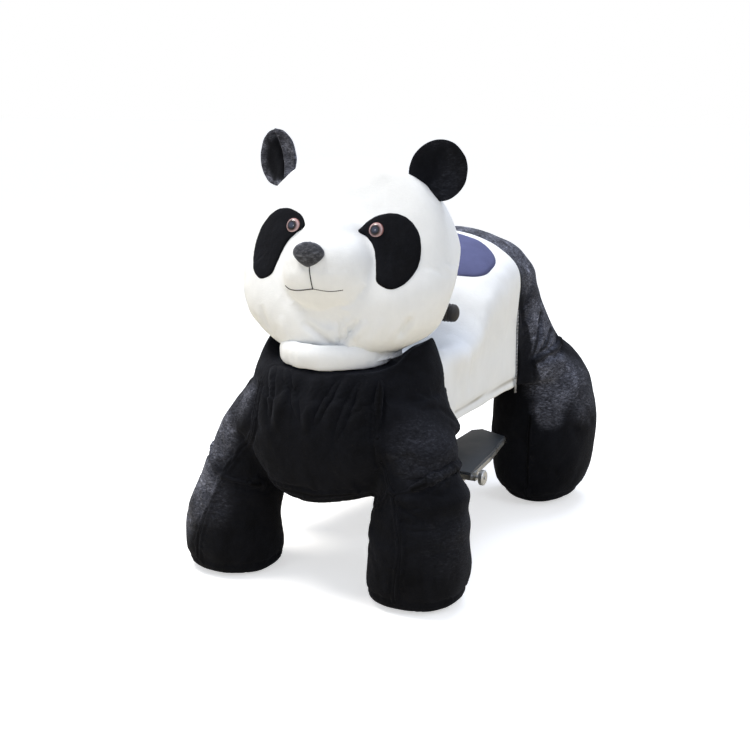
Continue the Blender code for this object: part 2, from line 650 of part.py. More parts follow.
def make_stem(steel):
    arm_low, rod_low = arm_z()
    arm_top = arm_low + STEER_ARM_THICKNESS
    pin_y = STEM_Y + STEER_ARM
    end_radius = STEER_ARM_WIDTH / 2 - 0.0001
    stop_top = HEAD_TUBE_TOP + STOP_COLLAR_HEIGHT
    stem = rod((0, STEM_Y, arm_low + LINK_PIN_OVERLAP), (0, STEM_Y, STEM_TOP), STEM_RADIUS, 16)
    arm = box((-STEER_ARM_WIDTH / 2, STEM_Y, arm_low), (STEER_ARM_WIDTH / 2, pin_y, arm_top))
    root = rod((0, STEM_Y, arm_low), (0, STEM_Y, HEAD_TUBE_BOTTOM - GAP), STEM_RADIUS + STEM_ROOT_STEP, 18)
    end = rod((0, pin_y, arm_low), (0, pin_y, arm_top), end_radius, 14)
    pin = rod((0, pin_y, rod_low - LINK_PIN_OVERLAP), (0, pin_y, arm_low + LINK_PIN_OVERLAP), LINK_PIN_RADIUS, 16)
    stop = rod((0, STEM_Y, HEAD_TUBE_TOP + GAP), (0, STEM_Y, stop_top), STEM_RADIUS + STOP_COLLAR_STEP, 18)
    return combine("steering_stem", steel, stem, join=[root, arm, end, pin, stop], where=STEER_CENTRE)


def bar_shape(extra):
    """The crossbar and the clamp that reaches from the stem to it; extra makes the channel it lies in."""
    cross = rod((-BAR_HALF_LENGTH, BAR_Y, BAR_Z), (BAR_HALF_LENGTH, BAR_Y, BAR_Z), BAR_RADIUS + extra, 14)
    half_width = CLAMP_HALF_WIDTH + extra
    half_height = CLAMP_HALF_HEIGHT + extra
    clamp = box((-half_width, STEM_Y - CLAMP_IN_FRONT - extra, BAR_Z - half_height),
                (half_width, BAR_Y + 0.002, BAR_Z + half_height))
    return cross, clamp


def make_handlebar(steel, grip_rubber, button_red):
    cross, clamp = bar_shape(0.0)
    housing = rod((THROTTLE_X - THROTTLE_HOUSING_LENGTH / 2, BAR_Y, BAR_Z),
                  (THROTTLE_X + THROTTLE_HOUSING_LENGTH / 2, BAR_Y, BAR_Z), THROTTLE_HOUSING_RADIUS, 16)
    bore = rod((0, STEM_Y, BAR_Z - 0.05), (0, STEM_Y, BAR_Z + 0.05), STEM_RADIUS + GAP, 16)
    face = BAR_Y + THROTTLE_HOUSING_RADIUS
    seat = face - THROTTLE_WELL_DEPTH
    well = rod((THROTTLE_X, seat, BAR_Z), (THROTTLE_X, face + 0.01, BAR_Z), THROTTLE_RADIUS + RUNNING, 14)
    combine("handlebar", steel, cross, join=[clamp, housing], cut=[bore, well], where=STEER_CENTRE)
    button = rod((THROTTLE_X, seat + THROTTLE_TRAVEL + GAP, BAR_Z), (THROTTLE_X, face + THROTTLE_PROUD, BAR_Z),
                 THROTTLE_RADIUS, 14)
    add_object("throttle_button", button, button_red, where=(THROTTLE_X, face, BAR_Z))
    for side in (1, -1):
        end = BAR_HALF_LENGTH + GAP + GRIP_END_WALL
        start = end - GRIP_LENGTH
        solid = rod((side * start, BAR_Y, BAR_Z), (side * end, BAR_Y, BAR_Z), GRIP_RADIUS, 16)
        flange = rod((side * start, BAR_Y, BAR_Z), (side * (start + GRIP_FLANGE), BAR_Y, BAR_Z),
                     GRIP_RADIUS + GRIP_FLANGE, 16)
        hole = rod((side * (start - 0.01), BAR_Y, BAR_Z), (side * (BAR_HALF_LENGTH + GAP), BAR_Y, BAR_Z),
                   BAR_RADIUS + GAP, 14)
        combine("grip_" + side_name(side), grip_rubber, solid, join=[flange], cut=[hole], where=STEER_CENTRE)


# Wheels

def make_front_wheels(urethane):
    half = FRONT_WHEEL_WIDTH / 2
    r = FRONT_WHEEL_RADIUS
    bore = FRONT_STUB_RADIUS + RUNNING
    web = 0.006
    profile = ((-half, bore), (-half, FRONT_HUB_RADIUS), (-web, FRONT_HUB_RADIUS + 0.004), (-web, r - 0.016),
               (-half, r - 0.013), (-half, r - 0.006), (-half + 0.006, r), (half - 0.006, r), (half, r - 0.006),
               (half, r - 0.013), (web, r - 0.016), (web, FRONT_HUB_RADIUS + 0.004), (half, FRONT_HUB_RADIUS),
               (half, bore))
    for side in (1, -1):
        place = (side * HALF_TRACK, FRONT_AXLE_Y, r)
        wheel = turned(profile, place, (1, 0, 0), WHEEL_SIDES)
        add_object("front_wheel_" + side_name(side), wheel, urethane, where=place)


def gear_outline(teeth, module, backlash):
    """Straight-flanked teeth around a circle, one tooth centred on the first axis of the outline."""
    pitch = teeth * module / 2
    outline = []
    for tooth in range(teeth):
        centre = math.tau * tooth / teeth
        for radius, share in ((pitch - 1.15 * module, -0.36), (pitch + 0.9 * module, -0.125),
                              (pitch + 0.9 * module, 0.125), (pitch - 1.15 * module, 0.36)):
            angle = centre + math.tau / teeth * share * (1 - backlash)
            outline.append((radius * math.cos(angle), radius * math.sin(angle)))
    return outline


def gear(teeth, turn, x_low, x_high, y, z):
    """A gear whose axis lies along X."""
    outline = []
    for u, v in gear_outline(teeth, GEAR_MODULE, 0.12):
        across = u * math.cos(turn) - v * math.sin(turn)
        up = u * math.sin(turn) + v * math.cos(turn)
        outline.append((y + across, z + up))
    return prism(outline, x_low, x_high, axis="X")


def gear_faces():
    """Inner and outer face of the wheel gear, measured outwards from the middle of the toy."""
    outer = REAR_WHEEL_X - REAR_WHEEL_WIDTH / 2
    return outer - GEAR_WIDTH, outer


def casing_faces():
    inner_gear = gear_faces()[0]
    return inner_gear - 0.001 - CASING_THICKNESS, inner_gear - 0.001


def pinion_height():
    return REAR_WHEEL_RADIUS + (WHEEL_GEAR_TEETH + PINION_TEETH) * GEAR_MODULE / 2 + 0.0004


def casing_top():
    return pinion_height() + CASING_ABOVE_PINION


def make_rear_drive(side, rim_finish, tyre_finish, casing_finish, gear_finish):
    name = side_name(side)
    x, y, z = side * REAR_WHEEL_X, REAR_AXLE_Y, REAR_WHEEL_RADIUS
    half = REAR_WHEEL_WIDTH / 2
    gear_in, gear_out = gear_faces()
    case_in, case_out = casing_faces()
    bore = REAR_AXLE_RADIUS
    web = RIM_WEB_HALF
    profile = ((-half, 0.0), (-half, REAR_RIM_RADIUS - 0.004), (-half + 0.004, REAR_RIM_RADIUS),
               (half - 0.004, REAR_RIM_RADIUS), (half, REAR_RIM_RADIUS - 0.004), (half, REAR_RIM_RADIUS - 0.010),
               (web, REAR_RIM_RADIUS - 0.014), (web, RIM_HUB_RADIUS), (half - 0.004, RIM_HUB_RADIUS - 0.004),
               (half - 0.004, 0.0))
    bm = bmesh.new()
    segments = WHEEL_SIDES
    turns = [math.tau * k / segments for k in range(segments)]
    rows = []
    for a, r in profile:
        place_x = x + side * a
        if r == 0.0:
            rows.append([bm.verts.new((place_x, y, z))])
        else:
            rows.append([bm.verts.new((place_x, y + r * math.cos(t), z + r * math.sin(t))) for t in turns])
    for row, after in zip(rows, rows[1:]):
        for k in range(segments):
            n = (k + 1) % segments
            corners = [row[k % len(row)], row[n % len(row)], after[n % len(after)], after[k % len(after)]]
            bm.faces.new(list(dict.fromkeys(corners)))
    teeth = gear(WHEEL_GEAR_TEETH, 0.0, min(side * gear_in, side * (gear_out + 0.002)),
                 max(side * gear_in, side * (gear_out + 0.002)), y, z)
    axle = rod((side * (case_in + 0.004), y, z), (side * (gear_out + 0.004), y, z), bore, 16)
    combine("rear_wheel_" + name, rim_finish, bm, join=[teeth, axle], where=(x, y, z))

    tread = REAR_WHEEL_RADIUS
    seat = REAR_RIM_RADIUS + GAP
    shoulder = tread - TYRE_SHOULDER
    tyre = ((-half + 0.004, seat), (-half + 0.002, shoulder), (-half + 0.009, tread), (half - 0.009, tread),
            (half - 0.002, shoulder), (half - 0.004, seat))
    add_object("rear_tyre_" + name, turned(tyre, (x, y, z), (1, 0, 0), WHEEL_SIDES), tyre_finish, where=(x, y, z))

    tall = pinion_height()
    shaft_far = case_out - 0.012
    casing = box((min(side * case_in, side * case_out), y - CASING_HALF_DEPTH, z - CASING_HALF_DEPTH),
                 (max(side * case_in, side * case_out), y + CASING_HALF_DEPTH, casing_top()))
    motor = rod((side * (case_in - MOTOR_LENGTH), y, tall), (side * (case_in + 0.003), y, tall),
                MOTOR_RADIUS, 16)
    axle_bore = rod((side * (case_in + 0.002), y, z), (side * (case_out + 0.01), y, z), bore + RUNNING, 16)
    shaft_bore = rod((side * (shaft_far - 0.002), y, tall), (side * (case_out + 0.01), y, tall),
                     PINION_SHAFT_RADIUS + RUNNING, 16)
    combine("gearbox_" + name, casing_finish, casing, join=[motor], cut=[axle_bore, shaft_bore])

    # The wheel gear has a space straight up, so the pinion turns half a tooth to point one straight down.
    pinion_out = gear_out - TOOTH_FACE_GAP
    pinion = gear(PINION_TEETH, math.pi / PINION_TEETH, min(side * gear_in, side * pinion_out),
                  max(side * gear_in, side * pinion_out), y, tall)
    shaft = rod((side * shaft_far, y, tall), (side * (pinion_out - GAP), y, tall), PINION_SHAFT_RADIUS, 16)
    combine("drive_pinion_" + name, gear_finish, pinion, join=[shaft], where=(x, y, tall))


# Covers

def front_cut(z):
    """The slanted seam between chest and torso."""
    return TORSO_FRONT_LOW + TORSO_FRONT_LEAN * (z - TORSO_HEM)


def arch_points(y, grow=0.0):
    """The torso's section at y, from the left hem over the ridge to the right hem, as (x, z)."""
    top = between(TOP_LINE, y)
    round_share = between(SHOULDER, y)
    hollow = between(NECK_HOLLOW, y)
    half = [(TORSO_HALF_WIDTH, TORSO_HEM)]
    for share, drop in ARCH[1:]:
        sunk = hollow * (1 - ramp(TORSO_HALF_WIDTH * share, NECK_HOLLOW_INNER, NECK_HOLLOW_OUTER))
        half.append((TORSO_HALF_WIDTH * share, top - drop * round_share - sunk))
    middle = (half[0][1] + half[1][1]) / 2
    half.insert(1, (TORSO_HALF_WIDTH, middle))
    full = half + [(-x, z) for x, z in reversed(half)]
    if grow == 0.0:
        return full
    moved = []
    for i, (x, z) in enumerate(full):
        before = full[max(i - 1, 0)]
        after = full[min(i + 1, len(full) - 1)]
        along = Vector((after[0] - before[0], after[1] - before[1])).normalized()
        moved.append((x + along.y * grow, z - along.x * grow))
    return moved


def torso_sections(grow):
    rings = []
    stations = (-0.215, -0.190, -0.160, -0.130, -0.095, -0.060, -0.030, 0.010, 0.050, 0.095, TORSO_REAR)
    for i, y in enumerate(stations):
        ring = []
        for x, z in arch_points(y, grow):
            place = front_cut(z) if i == 0 else max(y, front_cut(z) + FRONT_RING_STEP * i)
            narrow = 1 - FRONT_TAPER[min(i, 2)] * ramp(z, 0.37, 0.47)
            ring.append((x * narrow, place, z))
        rings.append(ring)
    return rings


def make_torso(plush, zip_metal):
    outer = torso_sections(0.0)
    inner = torso_sections(-WALL)
    shell = loft([a + b[::-1] for a, b in zip(outer, inner)])
    face = TORSO_HALF_WIDTH
    hinge = Vector((face + ZIP_PIN_OUT, ZIP_Y, ZIP_Z))
    half_pin = Vector((0.0, 0.0058, 0.0))
    slider = combine("slider_shape", None, centred_box((face + 0.001, ZIP_Y, ZIP_Z), (0.010, 0.012, 0.014)),
                     cut=[centred_box((face + 0.0048, ZIP_Y, ZIP_Z), (0.0064, 0.0060, 0.030))])
    slider_mesh = bmesh.new()
    slider_mesh.from_mesh(slider.data)
    bpy.data.objects.remove(slider, do_unlink=True)
    pin = rod(hinge - half_pin, hinge + half_pin, ZIP_PIN_RADIUS, 10)
    combine("torso_cover", plush, shell, join=[slider_mesh, pin])
    half_tab = Vector((ZIP_TAB_THICKNESS / 2, 0.0025, 0.0))
    tab = box(hinge - half_tab - Vector((0, 0, ZIP_TAB_LENGTH)), hinge + half_tab + Vector((0, 0, 0.0019)))
    eye = rod(hinge - 2 * half_pin, hinge + 2 * half_pin, ZIP_PIN_RADIUS + RUNNING, 10)
    combine("zip_pull", zip_metal, tab, cut=[eye], where=hinge)


def ellipse(centre, radii, count=28):
    turns = [math.tau * k / count for k in range(count)]
    return [(centre[0] + radii[0] * math.cos(t), centre[1] + radii[1] * math.sin(t)) for t in turns]


def make_seat_patch(plush):
    upper = grown(loft(torso_sections(0.0)), SKIN + PATCH_THICKNESS)
    lower = grown(loft(torso_sections(0.0)), SKIN)
    outline = ellipse((0.0, SEAT_PATCH_CENTRE_Y), (SEAT_PATCH_HALF_WIDTH, SEAT_PATCH_HALF_LENGTH))
    stamp = prism(outline, SEAT_BOARD_Z - 0.10, SEAT_BOARD_Z + 0.23)
    return combine("seat_patch", plush, upper, cut=[lower], keep=[stamp])


def make_seat_foam(foam):
    low = SEAT_BOARD_Z + SEAT_BOARD_THICKNESS + GAP
    rings = []
    for y in (SEAT_BOARD_FRONT + 0.012, 0.010, 0.050, 0.095, SEAT_BOARD_REAR - 0.002):
        side = SEAT_BOARD_HALF_WIDTH - 0.004
        under = sorted(arch_points(y, -WALL - SKIN))
        ring = [(side, y, low)]
        for step in range(9):
            x = side * (1 - step / 4)
            ring.append((x, y, max(low + 0.004, between(under, x))))
        ring.append((-side, y, low))
        rings.append(ring)
    return add_object("seat_foam", loft(rings), foam)


def chest_ring(z, half_width, front, rear, power, rear_power, clamp=True):
    """A level ring of the chest, tilted under the collar and raised at the shoulders."""
    top = CHEST[-1][0]
    tilt = NECK_TILT * max(0.0, (z - CHEST_TILT_FROM) / (top - CHEST_TILT_FROM))
    front_reach = CHEST_MIDDLE - front
    rear_reach = rear - CHEST_MIDDLE
    ring = []
    for x, y, _ in oval(z, 0.0, CHEST_MIDDLE, half_width, front_reach, rear_reach, power, 26, rear_power):
        rise = SHOULDER_RISE * ramp(abs(x), *SHOULDER_RISE_ACROSS) * ramp(y, *SHOULDER_RISE_ALONG)
        rise *= ramp(z, SHOULDER_RISE_FROM, top)
        ring.append((x, y, z + tilt * (y - NECK_Y) + rise))
    if not clamp:
        return ring
    limits = [GAP - front_cut(level) for _, _, level in ring]
    mirrored = cut_corners([(x, -y, level) for x, y, level in ring], limits)
    return [(x, -y, level) for x, y, level in mirrored]


def chest_inside():
    """The hollow of the chest, which runs out through its open back above the legs."""
    rings = []
    for z, half_width, front, rear, power, rear_power in CHEST[CHEST_LOWEST_HOLLOW:-1]:
        level = max(z - WALL if z > 0.40 else z, LEG_TOP + WALL)
        back = rear - WALL if z < TORSO_HEM else rear + 0.04
        rings.append(chest_ring(level, half_width - WALL, front + WALL, back, power, rear_power, clamp=False))
    return loft(rings)


def collar_hollow():
    """The flared well in which the collar turns."""
    room = COLLAR_RADIUS + COLLAR_TURN_ROOM
    flared = room + COLLAR_FLARE
    profile = ((0.0, 0.001), (0.0, room), (0.045, flared), (0.09, flared), (0.09, 0.001))
    bm = turned(profile, (0, 0, 0), (0, 0, 1), 24)
    seat = COLLAR_Z - COLLAR_HEIGHT / 2 - COLLAR_LIFT
    for vert in bm.verts:
        vert.co = Vector((vert.co.x, NECK_Y + vert.co.y, seat + vert.co.z + NECK_TILT * vert.co.y))
    return bm


def make_chest(plush):
    outer = loft([chest_ring(*row) for row in CHEST])
    floor = LEG_TOP + WALL
    leg_x = HALF_TRACK - LEG_HOLE_INWARD
    holes = [rod((side * leg_x, FRONT_AXLE_Y, LEG_TOP - 0.02), (side * leg_x, FRONT_AXLE_Y, floor + 0.02),
                 LEG_HOLE_RADIUS, 24) for side in (1, -1)]
    neck = rod((0, STEM_Y, 0.38), (0, STEM_Y, 0.50), NECK_HOLE_RADIUS, 16)
    return combine("chest_cover", plush, outer, cut=[chest_inside(), *holes, neck, collar_hollow()], sharp=50)


def rump_ring(z, middle, half_width, front, rear, clamp=True):
    ring = oval(z, 0.0, middle, half_width, front, rear, RUMP_POWER, 26)
    return cut_corners(ring, [TORSO_REAR + GAP] * len(ring)) if clamp else ring


def rump_solid():
    return loft([rump_ring(*row) for row in RUMP])


def rump_back(z):
    """Y of the rump's back at a height."""
    middle = between([(row[0], row[1]) for row in RUMP], z)
    return middle + between([(row[0], row[4]) for row in RUMP], z)


def make_rump(plush, white):
    _, middle, half_width, front, rear = RUMP[0]
    inner = [rump_ring(THIGH_TOP - 0.02, middle, half_width - WALL, front, rear - WALL, clamp=False)]
    for z, middle, half_width, front, rear in RUMP[1:-2]:
        inner.append(rump_ring(z - WALL * 0.5, middle, half_width - WALL, front + 0.03, rear - WALL, clamp=False))
    combine("rump_cover", plush, rump_solid(), cut=[loft(inner)], sharp=50)
    tail = ellipsoid((0.0, rump_back(TAIL_Z) - TAIL_SUNK, TAIL_Z), TAIL_RADII, 16, 10)
    combine("tail", white, tail, cut=[grown(rump_solid(), SKIN)], sharp=50)


def make_front_leg(side, plush):
    outer = [oval(z, side * (HALF_TRACK + out), FRONT_AXLE_Y + back, r, r, r, FRONT_LEG_POWER, 20)
             for z, out, r, back in FRONT_LEG]
    inner = [oval(z, side * (HALF_TRACK - (LEG_HOLE_INWARD if z > FRONT_KNEE_Z else 0.0)), FRONT_AXLE_Y,
                  r, r, r, FRONT_LEG_POWER, 20) for z, r in FRONT_LEG_INSIDE]
    add_object("front_leg_cover_" + side_name(side), loft(outer + inner[::-1], capped=False), plush, sharp=60)


def make_rear_leg(side, plush):
    outer = [oval(z, side * (REAR_WHEEL_X + out), REAR_AXLE_Y, w, front, rear, REAR_LEG_POWER, 20)
             for z, out, w, front, rear in REAR_LEG]
    inner = [oval(z, side * (REAR_WHEEL_X + out), REAR_AXLE_Y, w, d, d, REAR_LEG_POWER, 20)
             for z, out, w, d in REAR_LEG_INSIDE]
    add_object("rear_leg_cover_" + side_name(side), loft(outer + inner[::-1], capped=False), plush, sharp=60)


# Head

def muzzle(x, z):
    """How far the muzzle stands out of the face."""
    across = x / MUZZLE_HALF_WIDTH
    up = (z - MUZZLE_Z) / MUZZLE_HALF_HEIGHT
    return MUZZLE_REACH * math.exp(-across ** 2 - up ** 2)


def head_solid(grow=0.0):
    rings = []
    for z, half_width, front, rear in HEAD:
        middle = between(HEAD_MIDDLE, z)
        ring = []
        for x, y, _ in oval(z, 0.0, middle, half_width, middle - front, rear - middle, HEAD_POWER, 26):
            facing = max(0.0, min(1.0, (middle - y) / 0.06))
            ring.append((x, y - muzzle(x, z) * facing, z))
        rings.append(ring)
    bm = loft(rings)
    return grown(bm, grow) if grow else bm


def face_y(x, z):
    """The face's surface straight ahead of a point, from the same rings as the head."""
    front = between([(row[0], row[2]) for row in HEAD], z)
    half_width = between([(row[0], row[1]) for row in HEAD], z)
    middle = between(HEAD_MIDDLE, z)
    flat = max(0.0, 1 - abs(x / half_width) ** HEAD_POWER) ** (1 / HEAD_POWER)
    return middle - (middle - front) * flat - muzzle(x, z)


def make_head(white, black, nose_black, eye_glass):
    eye_centres = [(side * EYE_X, face_y(EYE_X, EYE_Z) + 0.004, EYE_Z) for side in (1, -1)]
    nose_centre = (0.0, face_y(0.0, NOSE_Z) + 0.002, NOSE_Z)
    socket = rod((0, STEM_Y, 0.40), (0, STEM_Y, STEM_TOP + SKIN), STEM_RADIUS + SKIN, 16)
    channel = list(bar_shape(SKIN))
    pockets = [ellipsoid(c, [EYE_RADIUS + GAP] * 3) for c in eye_centres]
    nose_pocket = ellipsoid(nose_centre, [r + GAP for r in NOSE_SIZE])
    combine("head_cover", white, head_solid(), cut=[socket, *channel, *pockets, nose_pocket], sharp=50,
            where=STEER_CENTRE)
    add_object("nose", ellipsoid(nose_centre, NOSE_SIZE), nose_black, sharp=60, where=STEER_CENTRE)
    for side, centre in zip((1, -1), eye_centres):
        eye = ellipsoid(centre, [EYE_RADIUS] * 3)
        add_object("eye_" + side_name(side), eye, eye_glass, sharp=60, where=STEER_CENTRE)
        outline = [(side * x, z) for x, z in EYE_PATCH_OUTLINE]
        stamp = prism(outline, FACE_FRONT, HEAD_MIDDLE[0][1], axis="Y")
        pocket = ellipsoid(centre, [EYE_RADIUS + GAP] * 3)
        combine("eye_patch_" + side_name(side), black, head_solid(SKIN + PATCH_THICKNESS),
                cut=[head_solid(SKIN), pocket], keep=[stamp], sharp=50, where=STEER_CENTRE)
        make_ear(side, black)
    make_collar(white)


def make_ear(side, black):
    """A cupped disc that leans outwards, trimmed where it meets the head."""
    count = 20
    rows = []
    for depth, share in ((0.0, 0.90), (EAR_THICKNESS * 0.5, 1.0), (EAR_THICKNESS, 0.86)):
        radius = share * EAR_RADIUS
        turns = [math.tau * k / count for k in range(count)]
        rows.append([(radius * math.cos(t), depth, radius * math.sin(t)) for t in turns])
    rows.insert(0, [(x * 0.45, EAR_CUP, z * 0.45) for x, _, z in rows[1]])
    rows.append([(x * 0.45, EAR_THICKNESS + EAR_CROWN, z * 0.45) for x, _, z in rows[2]])
    lean = Matrix.Rotation(math.radians(side * EAR_LEAN), 4, "Y")
    turn = Matrix.Rotation(math.radians(side * EAR_YAW), 4, "Z")
    lift = Matrix.Translation((side * EAR_X, EAR_Y, EAR_Z))
    bm = loft(rows)
    bmesh.ops.transform(bm, verts=bm.verts, matrix=lift @ turn @ lean)
    combine("ear_" + side_name(side), black, bm, cut=[head_solid(SKIN)], sharp=50, where=STEER_CENTRE)


def make_collar(white):
    half = COLLAR_HEIGHT / 2
    bore = COLLAR_RADIUS - COLLAR_WALL
    edge = COLLAR_RADIUS - COLLAR_EDGE
    profile = ((-half, bore), (-half, edge), (-half * 0.4, COLLAR_RADIUS), (half * 0.4, COLLAR_RADIUS),
               (half, edge), (half, bore))
    bm = turned(profile, (0, 0, 0), (0, 0, 1), 24)
    for vert in bm.verts:
        vert.co = Vector((vert.co.x, NECK_Y + vert.co.y, COLLAR_Z + vert.co.z + NECK_TILT * vert.co.y))
    combine("collar", white, bm, cut=[head_solid(SKIN), *bar_shape(SKIN)], sharp=50, where=STEER_CENTRE)


# Electrics

def make_electrics(battery_case, plastic, button_red):
    spine_top = SPINE_Z + SPINE_HEIGHT / 2 + GAP
    for name, size, y, finish in (("battery", BATTERY_SIZE, BATTERY_Y, battery_case),
                                  ("control_box", CONTROL_BOX_SIZE, CONTROL_BOX_Y, plastic)):
        add_object(name, centred_box((0, y, spine_top + size[2] / 2), size), finish)
    face = REAR_AXLE_Y + REAR_BEAM_DEPTH / 2 + GAP
    low = SPINE_Z - PANEL_SIZE[2] / 2
    half = PANEL_SIZE[0] / 2
    panel = box((-half, face, low), (half, face + PANEL_SIZE[1], low + PANEL_SIZE[2]))
    middle = face + PANEL_SIZE[1] / 2
    well_top = low + BUTTON_WELL_DEPTH
    x = PANEL_FITTING_X
    well = rod((-x, middle, low - 0.01), (-x, middle, well_top), BUTTON_RADIUS + RUNNING, 14)
    boss = rod((x, middle, low - SOCKET_BOSS_DROP), (x, middle, low + 0.002), SOCKET_RADIUS, 14)
    socket = rod((x, middle, low - 0.02), (x, middle, low + SOCKET_DEPTH), SOCKET_RADIUS * 0.45, 16)
    combine("switch_panel", plastic, panel, join=[boss], cut=[well, socket])
    button_top = well_top - BUTTON_TRAVEL - GAP
    button = rod((-x, middle, low - BUTTON_PROUD), (-x, middle, button_top), BUTTON_RADIUS, 14)
    add_object("power_button", button, button_red, where=(-x, middle, low))


def main():
    clear_scene()
    steel = material("powder_coated_steel", (0.03, 0.03, 0.032), 0.45)
    zinc = material("zinc_plated_steel", (0.62, 0.63, 0.65), 0.32, 1.0)
    plywood = material("plywood", (0.55, 0.38, 0.22), 0.6)
    rubber = material("black_rubber", (0.045, 0.047, 0.05), 0.7)
    urethane = material("urethane", (0.10, 0.09, 0.35), 0.4)
    nylon = material("white_nylon", (0.85, 0.85, 0.83), 0.4)
    plastic = material("black_plastic", (0.02, 0.02, 0.02), 0.4)
    battery_case = material("battery_case", (0.10, 0.10, 0.11), 0.5)
    red = material("red_plastic", (0.6, 0.03, 0.03), 0.35)
    black_plush = material("black_plush", (0.012, 0.012, 0.015), 0.9)
    white_plush = material("white_plush", (0.88, 0.87, 0.84), 0.9)
    grey_plush = material("grey_violet_plush", (0.10, 0.09, 0.13), 0.8)
    foam = material("seat_foam", (0.75, 0.70, 0.45), 0.9)
    zip_metal = material("zip_metal", (0.65, 0.65, 0.65), 0.3, 1.0)
    eye_resin = material("eye_resin", (0.10, 0.05, 0.04), 0.1)

    make_spine(steel)
    make_front_beam(steel)
    make_rear_frame(steel)
    make_tube("head_tube", steel, 0, STEM_Y, HEAD_TUBE_BOTTOM, HEAD_TUBE_TOP, HEAD_TUBE_RADIUS,
              STEM_RADIUS + RUNNING)
    kingpin_low, kingpin_high = kingpin_heights()
    for side in (1, -1):
        make_tube("kingpin_tube_" + side_name(side), steel, side * HALF_TRACK, FRONT_AXLE_Y, kingpin_low,
                  kingpin_high, KINGPIN_TUBE_RADIUS, KINGPIN_RADIUS + RUNNING)
        make_fork(side, zinc)
        make_rear_drive(side, nylon, urethane, plastic, nylon)
        make_front_leg(side, black_plush)
        make_rear_leg(side, black_plush)
    make_seat_stand(steel, plywood)
    make_footrests(zinc, rubber, zinc)
    make_tie_rod(zinc)
    make_stem(zinc)
    make_handlebar(steel, rubber, red)
    make_front_wheels(urethane)
    make_torso(white_plush, zip_metal)
    make_seat_patch(grey_plush)
    make_seat_foam(foam)
    make_chest(black_plush)
    make_rump(black_plush, white_plush)
    make_head(white_plush, black_plush, black_plush, eye_resin)
    make_electrics(battery_case, plastic, red)


main()
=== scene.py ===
# %% [markdown]
# # A plush electric ride-on panda
#
# The toy is a steel trolley dressed in sewn plush: a steering head on the handlebar stem, a chest
# and rump in black, a white body and seat between them, and four soft legs that hide the wheels.
# The hard parts come ready made from the frame model. This lesson makes what the eye sees: the
# stuffed covers with their seams and folds, the face, the zip, and a finish for each hard part.

import math

import bmesh
import bpy
import numpy as np
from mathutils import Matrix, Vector, noise
from mathutils.bvhtree import BVHTree


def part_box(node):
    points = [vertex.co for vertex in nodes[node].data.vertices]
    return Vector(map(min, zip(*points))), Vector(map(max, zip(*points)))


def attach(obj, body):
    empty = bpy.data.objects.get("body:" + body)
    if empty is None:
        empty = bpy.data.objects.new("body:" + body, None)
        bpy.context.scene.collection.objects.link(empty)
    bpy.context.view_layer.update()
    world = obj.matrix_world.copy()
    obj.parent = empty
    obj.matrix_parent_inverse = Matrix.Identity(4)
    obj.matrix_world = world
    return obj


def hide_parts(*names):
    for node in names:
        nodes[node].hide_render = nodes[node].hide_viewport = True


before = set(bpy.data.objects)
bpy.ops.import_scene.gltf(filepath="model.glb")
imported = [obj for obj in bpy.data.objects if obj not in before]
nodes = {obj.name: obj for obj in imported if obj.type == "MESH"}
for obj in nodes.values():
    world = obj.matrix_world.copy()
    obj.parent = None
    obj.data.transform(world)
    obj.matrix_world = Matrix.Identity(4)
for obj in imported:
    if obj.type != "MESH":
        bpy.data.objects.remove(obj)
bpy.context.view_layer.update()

# %% [markdown]
# ## The camera
#
# The photograph is taken from the toy's front left at the height of its head, looking a little down.
# A lens of about 59 mm on a full-frame sensor gives the same mild perspective.

# %% Camera
CAMERA_PLACE = Vector((1.113, -2.305, 0.93))
CAMERA_TURN = math.radians(27.2)
CAMERA_DIP = math.radians(13.1)
FOCAL_PIXELS = 1222.0
IMAGE_PIXELS = 750.0
SENSOR_MM = 36.0

lens = bpy.data.cameras.new("photo_camera")
lens.sensor_width = SENSOR_MM
lens.lens = FOCAL_PIXELS / IMAGE_PIXELS * SENSOR_MM
camera = bpy.data.objects.new("photo_camera", lens)
bpy.context.scene.collection.objects.link(camera)
looking = Vector((-math.sin(CAMERA_TURN) * math.cos(CAMERA_DIP),
                  math.cos(CAMERA_TURN) * math.cos(CAMERA_DIP), -math.sin(CAMERA_DIP)))
camera.location = CAMERA_PLACE
camera.rotation_mode = "QUATERNION"
camera.rotation_quaternion = looking.to_track_quat("-Z", "Y")
bpy.context.scene.camera = camera
print("lens", round(lens.lens, 2), "mm")

# %% [markdown]
# ## Colour and node helpers
#
# Colours are written as the hex values one reads off a screen. Shaders work in linear light, so one
# function turns each hex value to linear. The others add a node with its settings and links, and the
# kinds of node that every finish uses: a Math node, a ramp, a mix, a noise and a bump.


# %% Helpers for materials
def linear(code):
    """A screen colour such as '1b1c22' as linear red, green, blue and alpha."""
    made = []
    for i in (0, 2, 4):
        value = int(code[i:i + 2], 16) / 255
        made.append(value / 12.92 if value <= 0.04045 else ((value + 0.055) / 1.055) ** 2.4)
    return (*made, 1.0)


def fill(tree, made, inputs):
    """Sets or links inputs of a node by name or number."""
    for name, value in inputs.items():
        if isinstance(value, bpy.types.NodeSocket):
            tree.links.new(value, made.inputs[name])
        else:
            made.inputs[name].default_value = value


def node(tree, kind, inputs=None, **settings):
    """Adds a node, sets its properties and fills its inputs."""
    made = tree.nodes.new(kind)
    for name, value in settings.items():
        setattr(made, name, value)
    fill(tree, made, inputs or {})
    return made


def maths(tree, operation, *values):
    """The result of one Math node on numbers and links."""
    return node(tree, "ShaderNodeMath", dict(enumerate(values)), operation=operation).outputs[0]


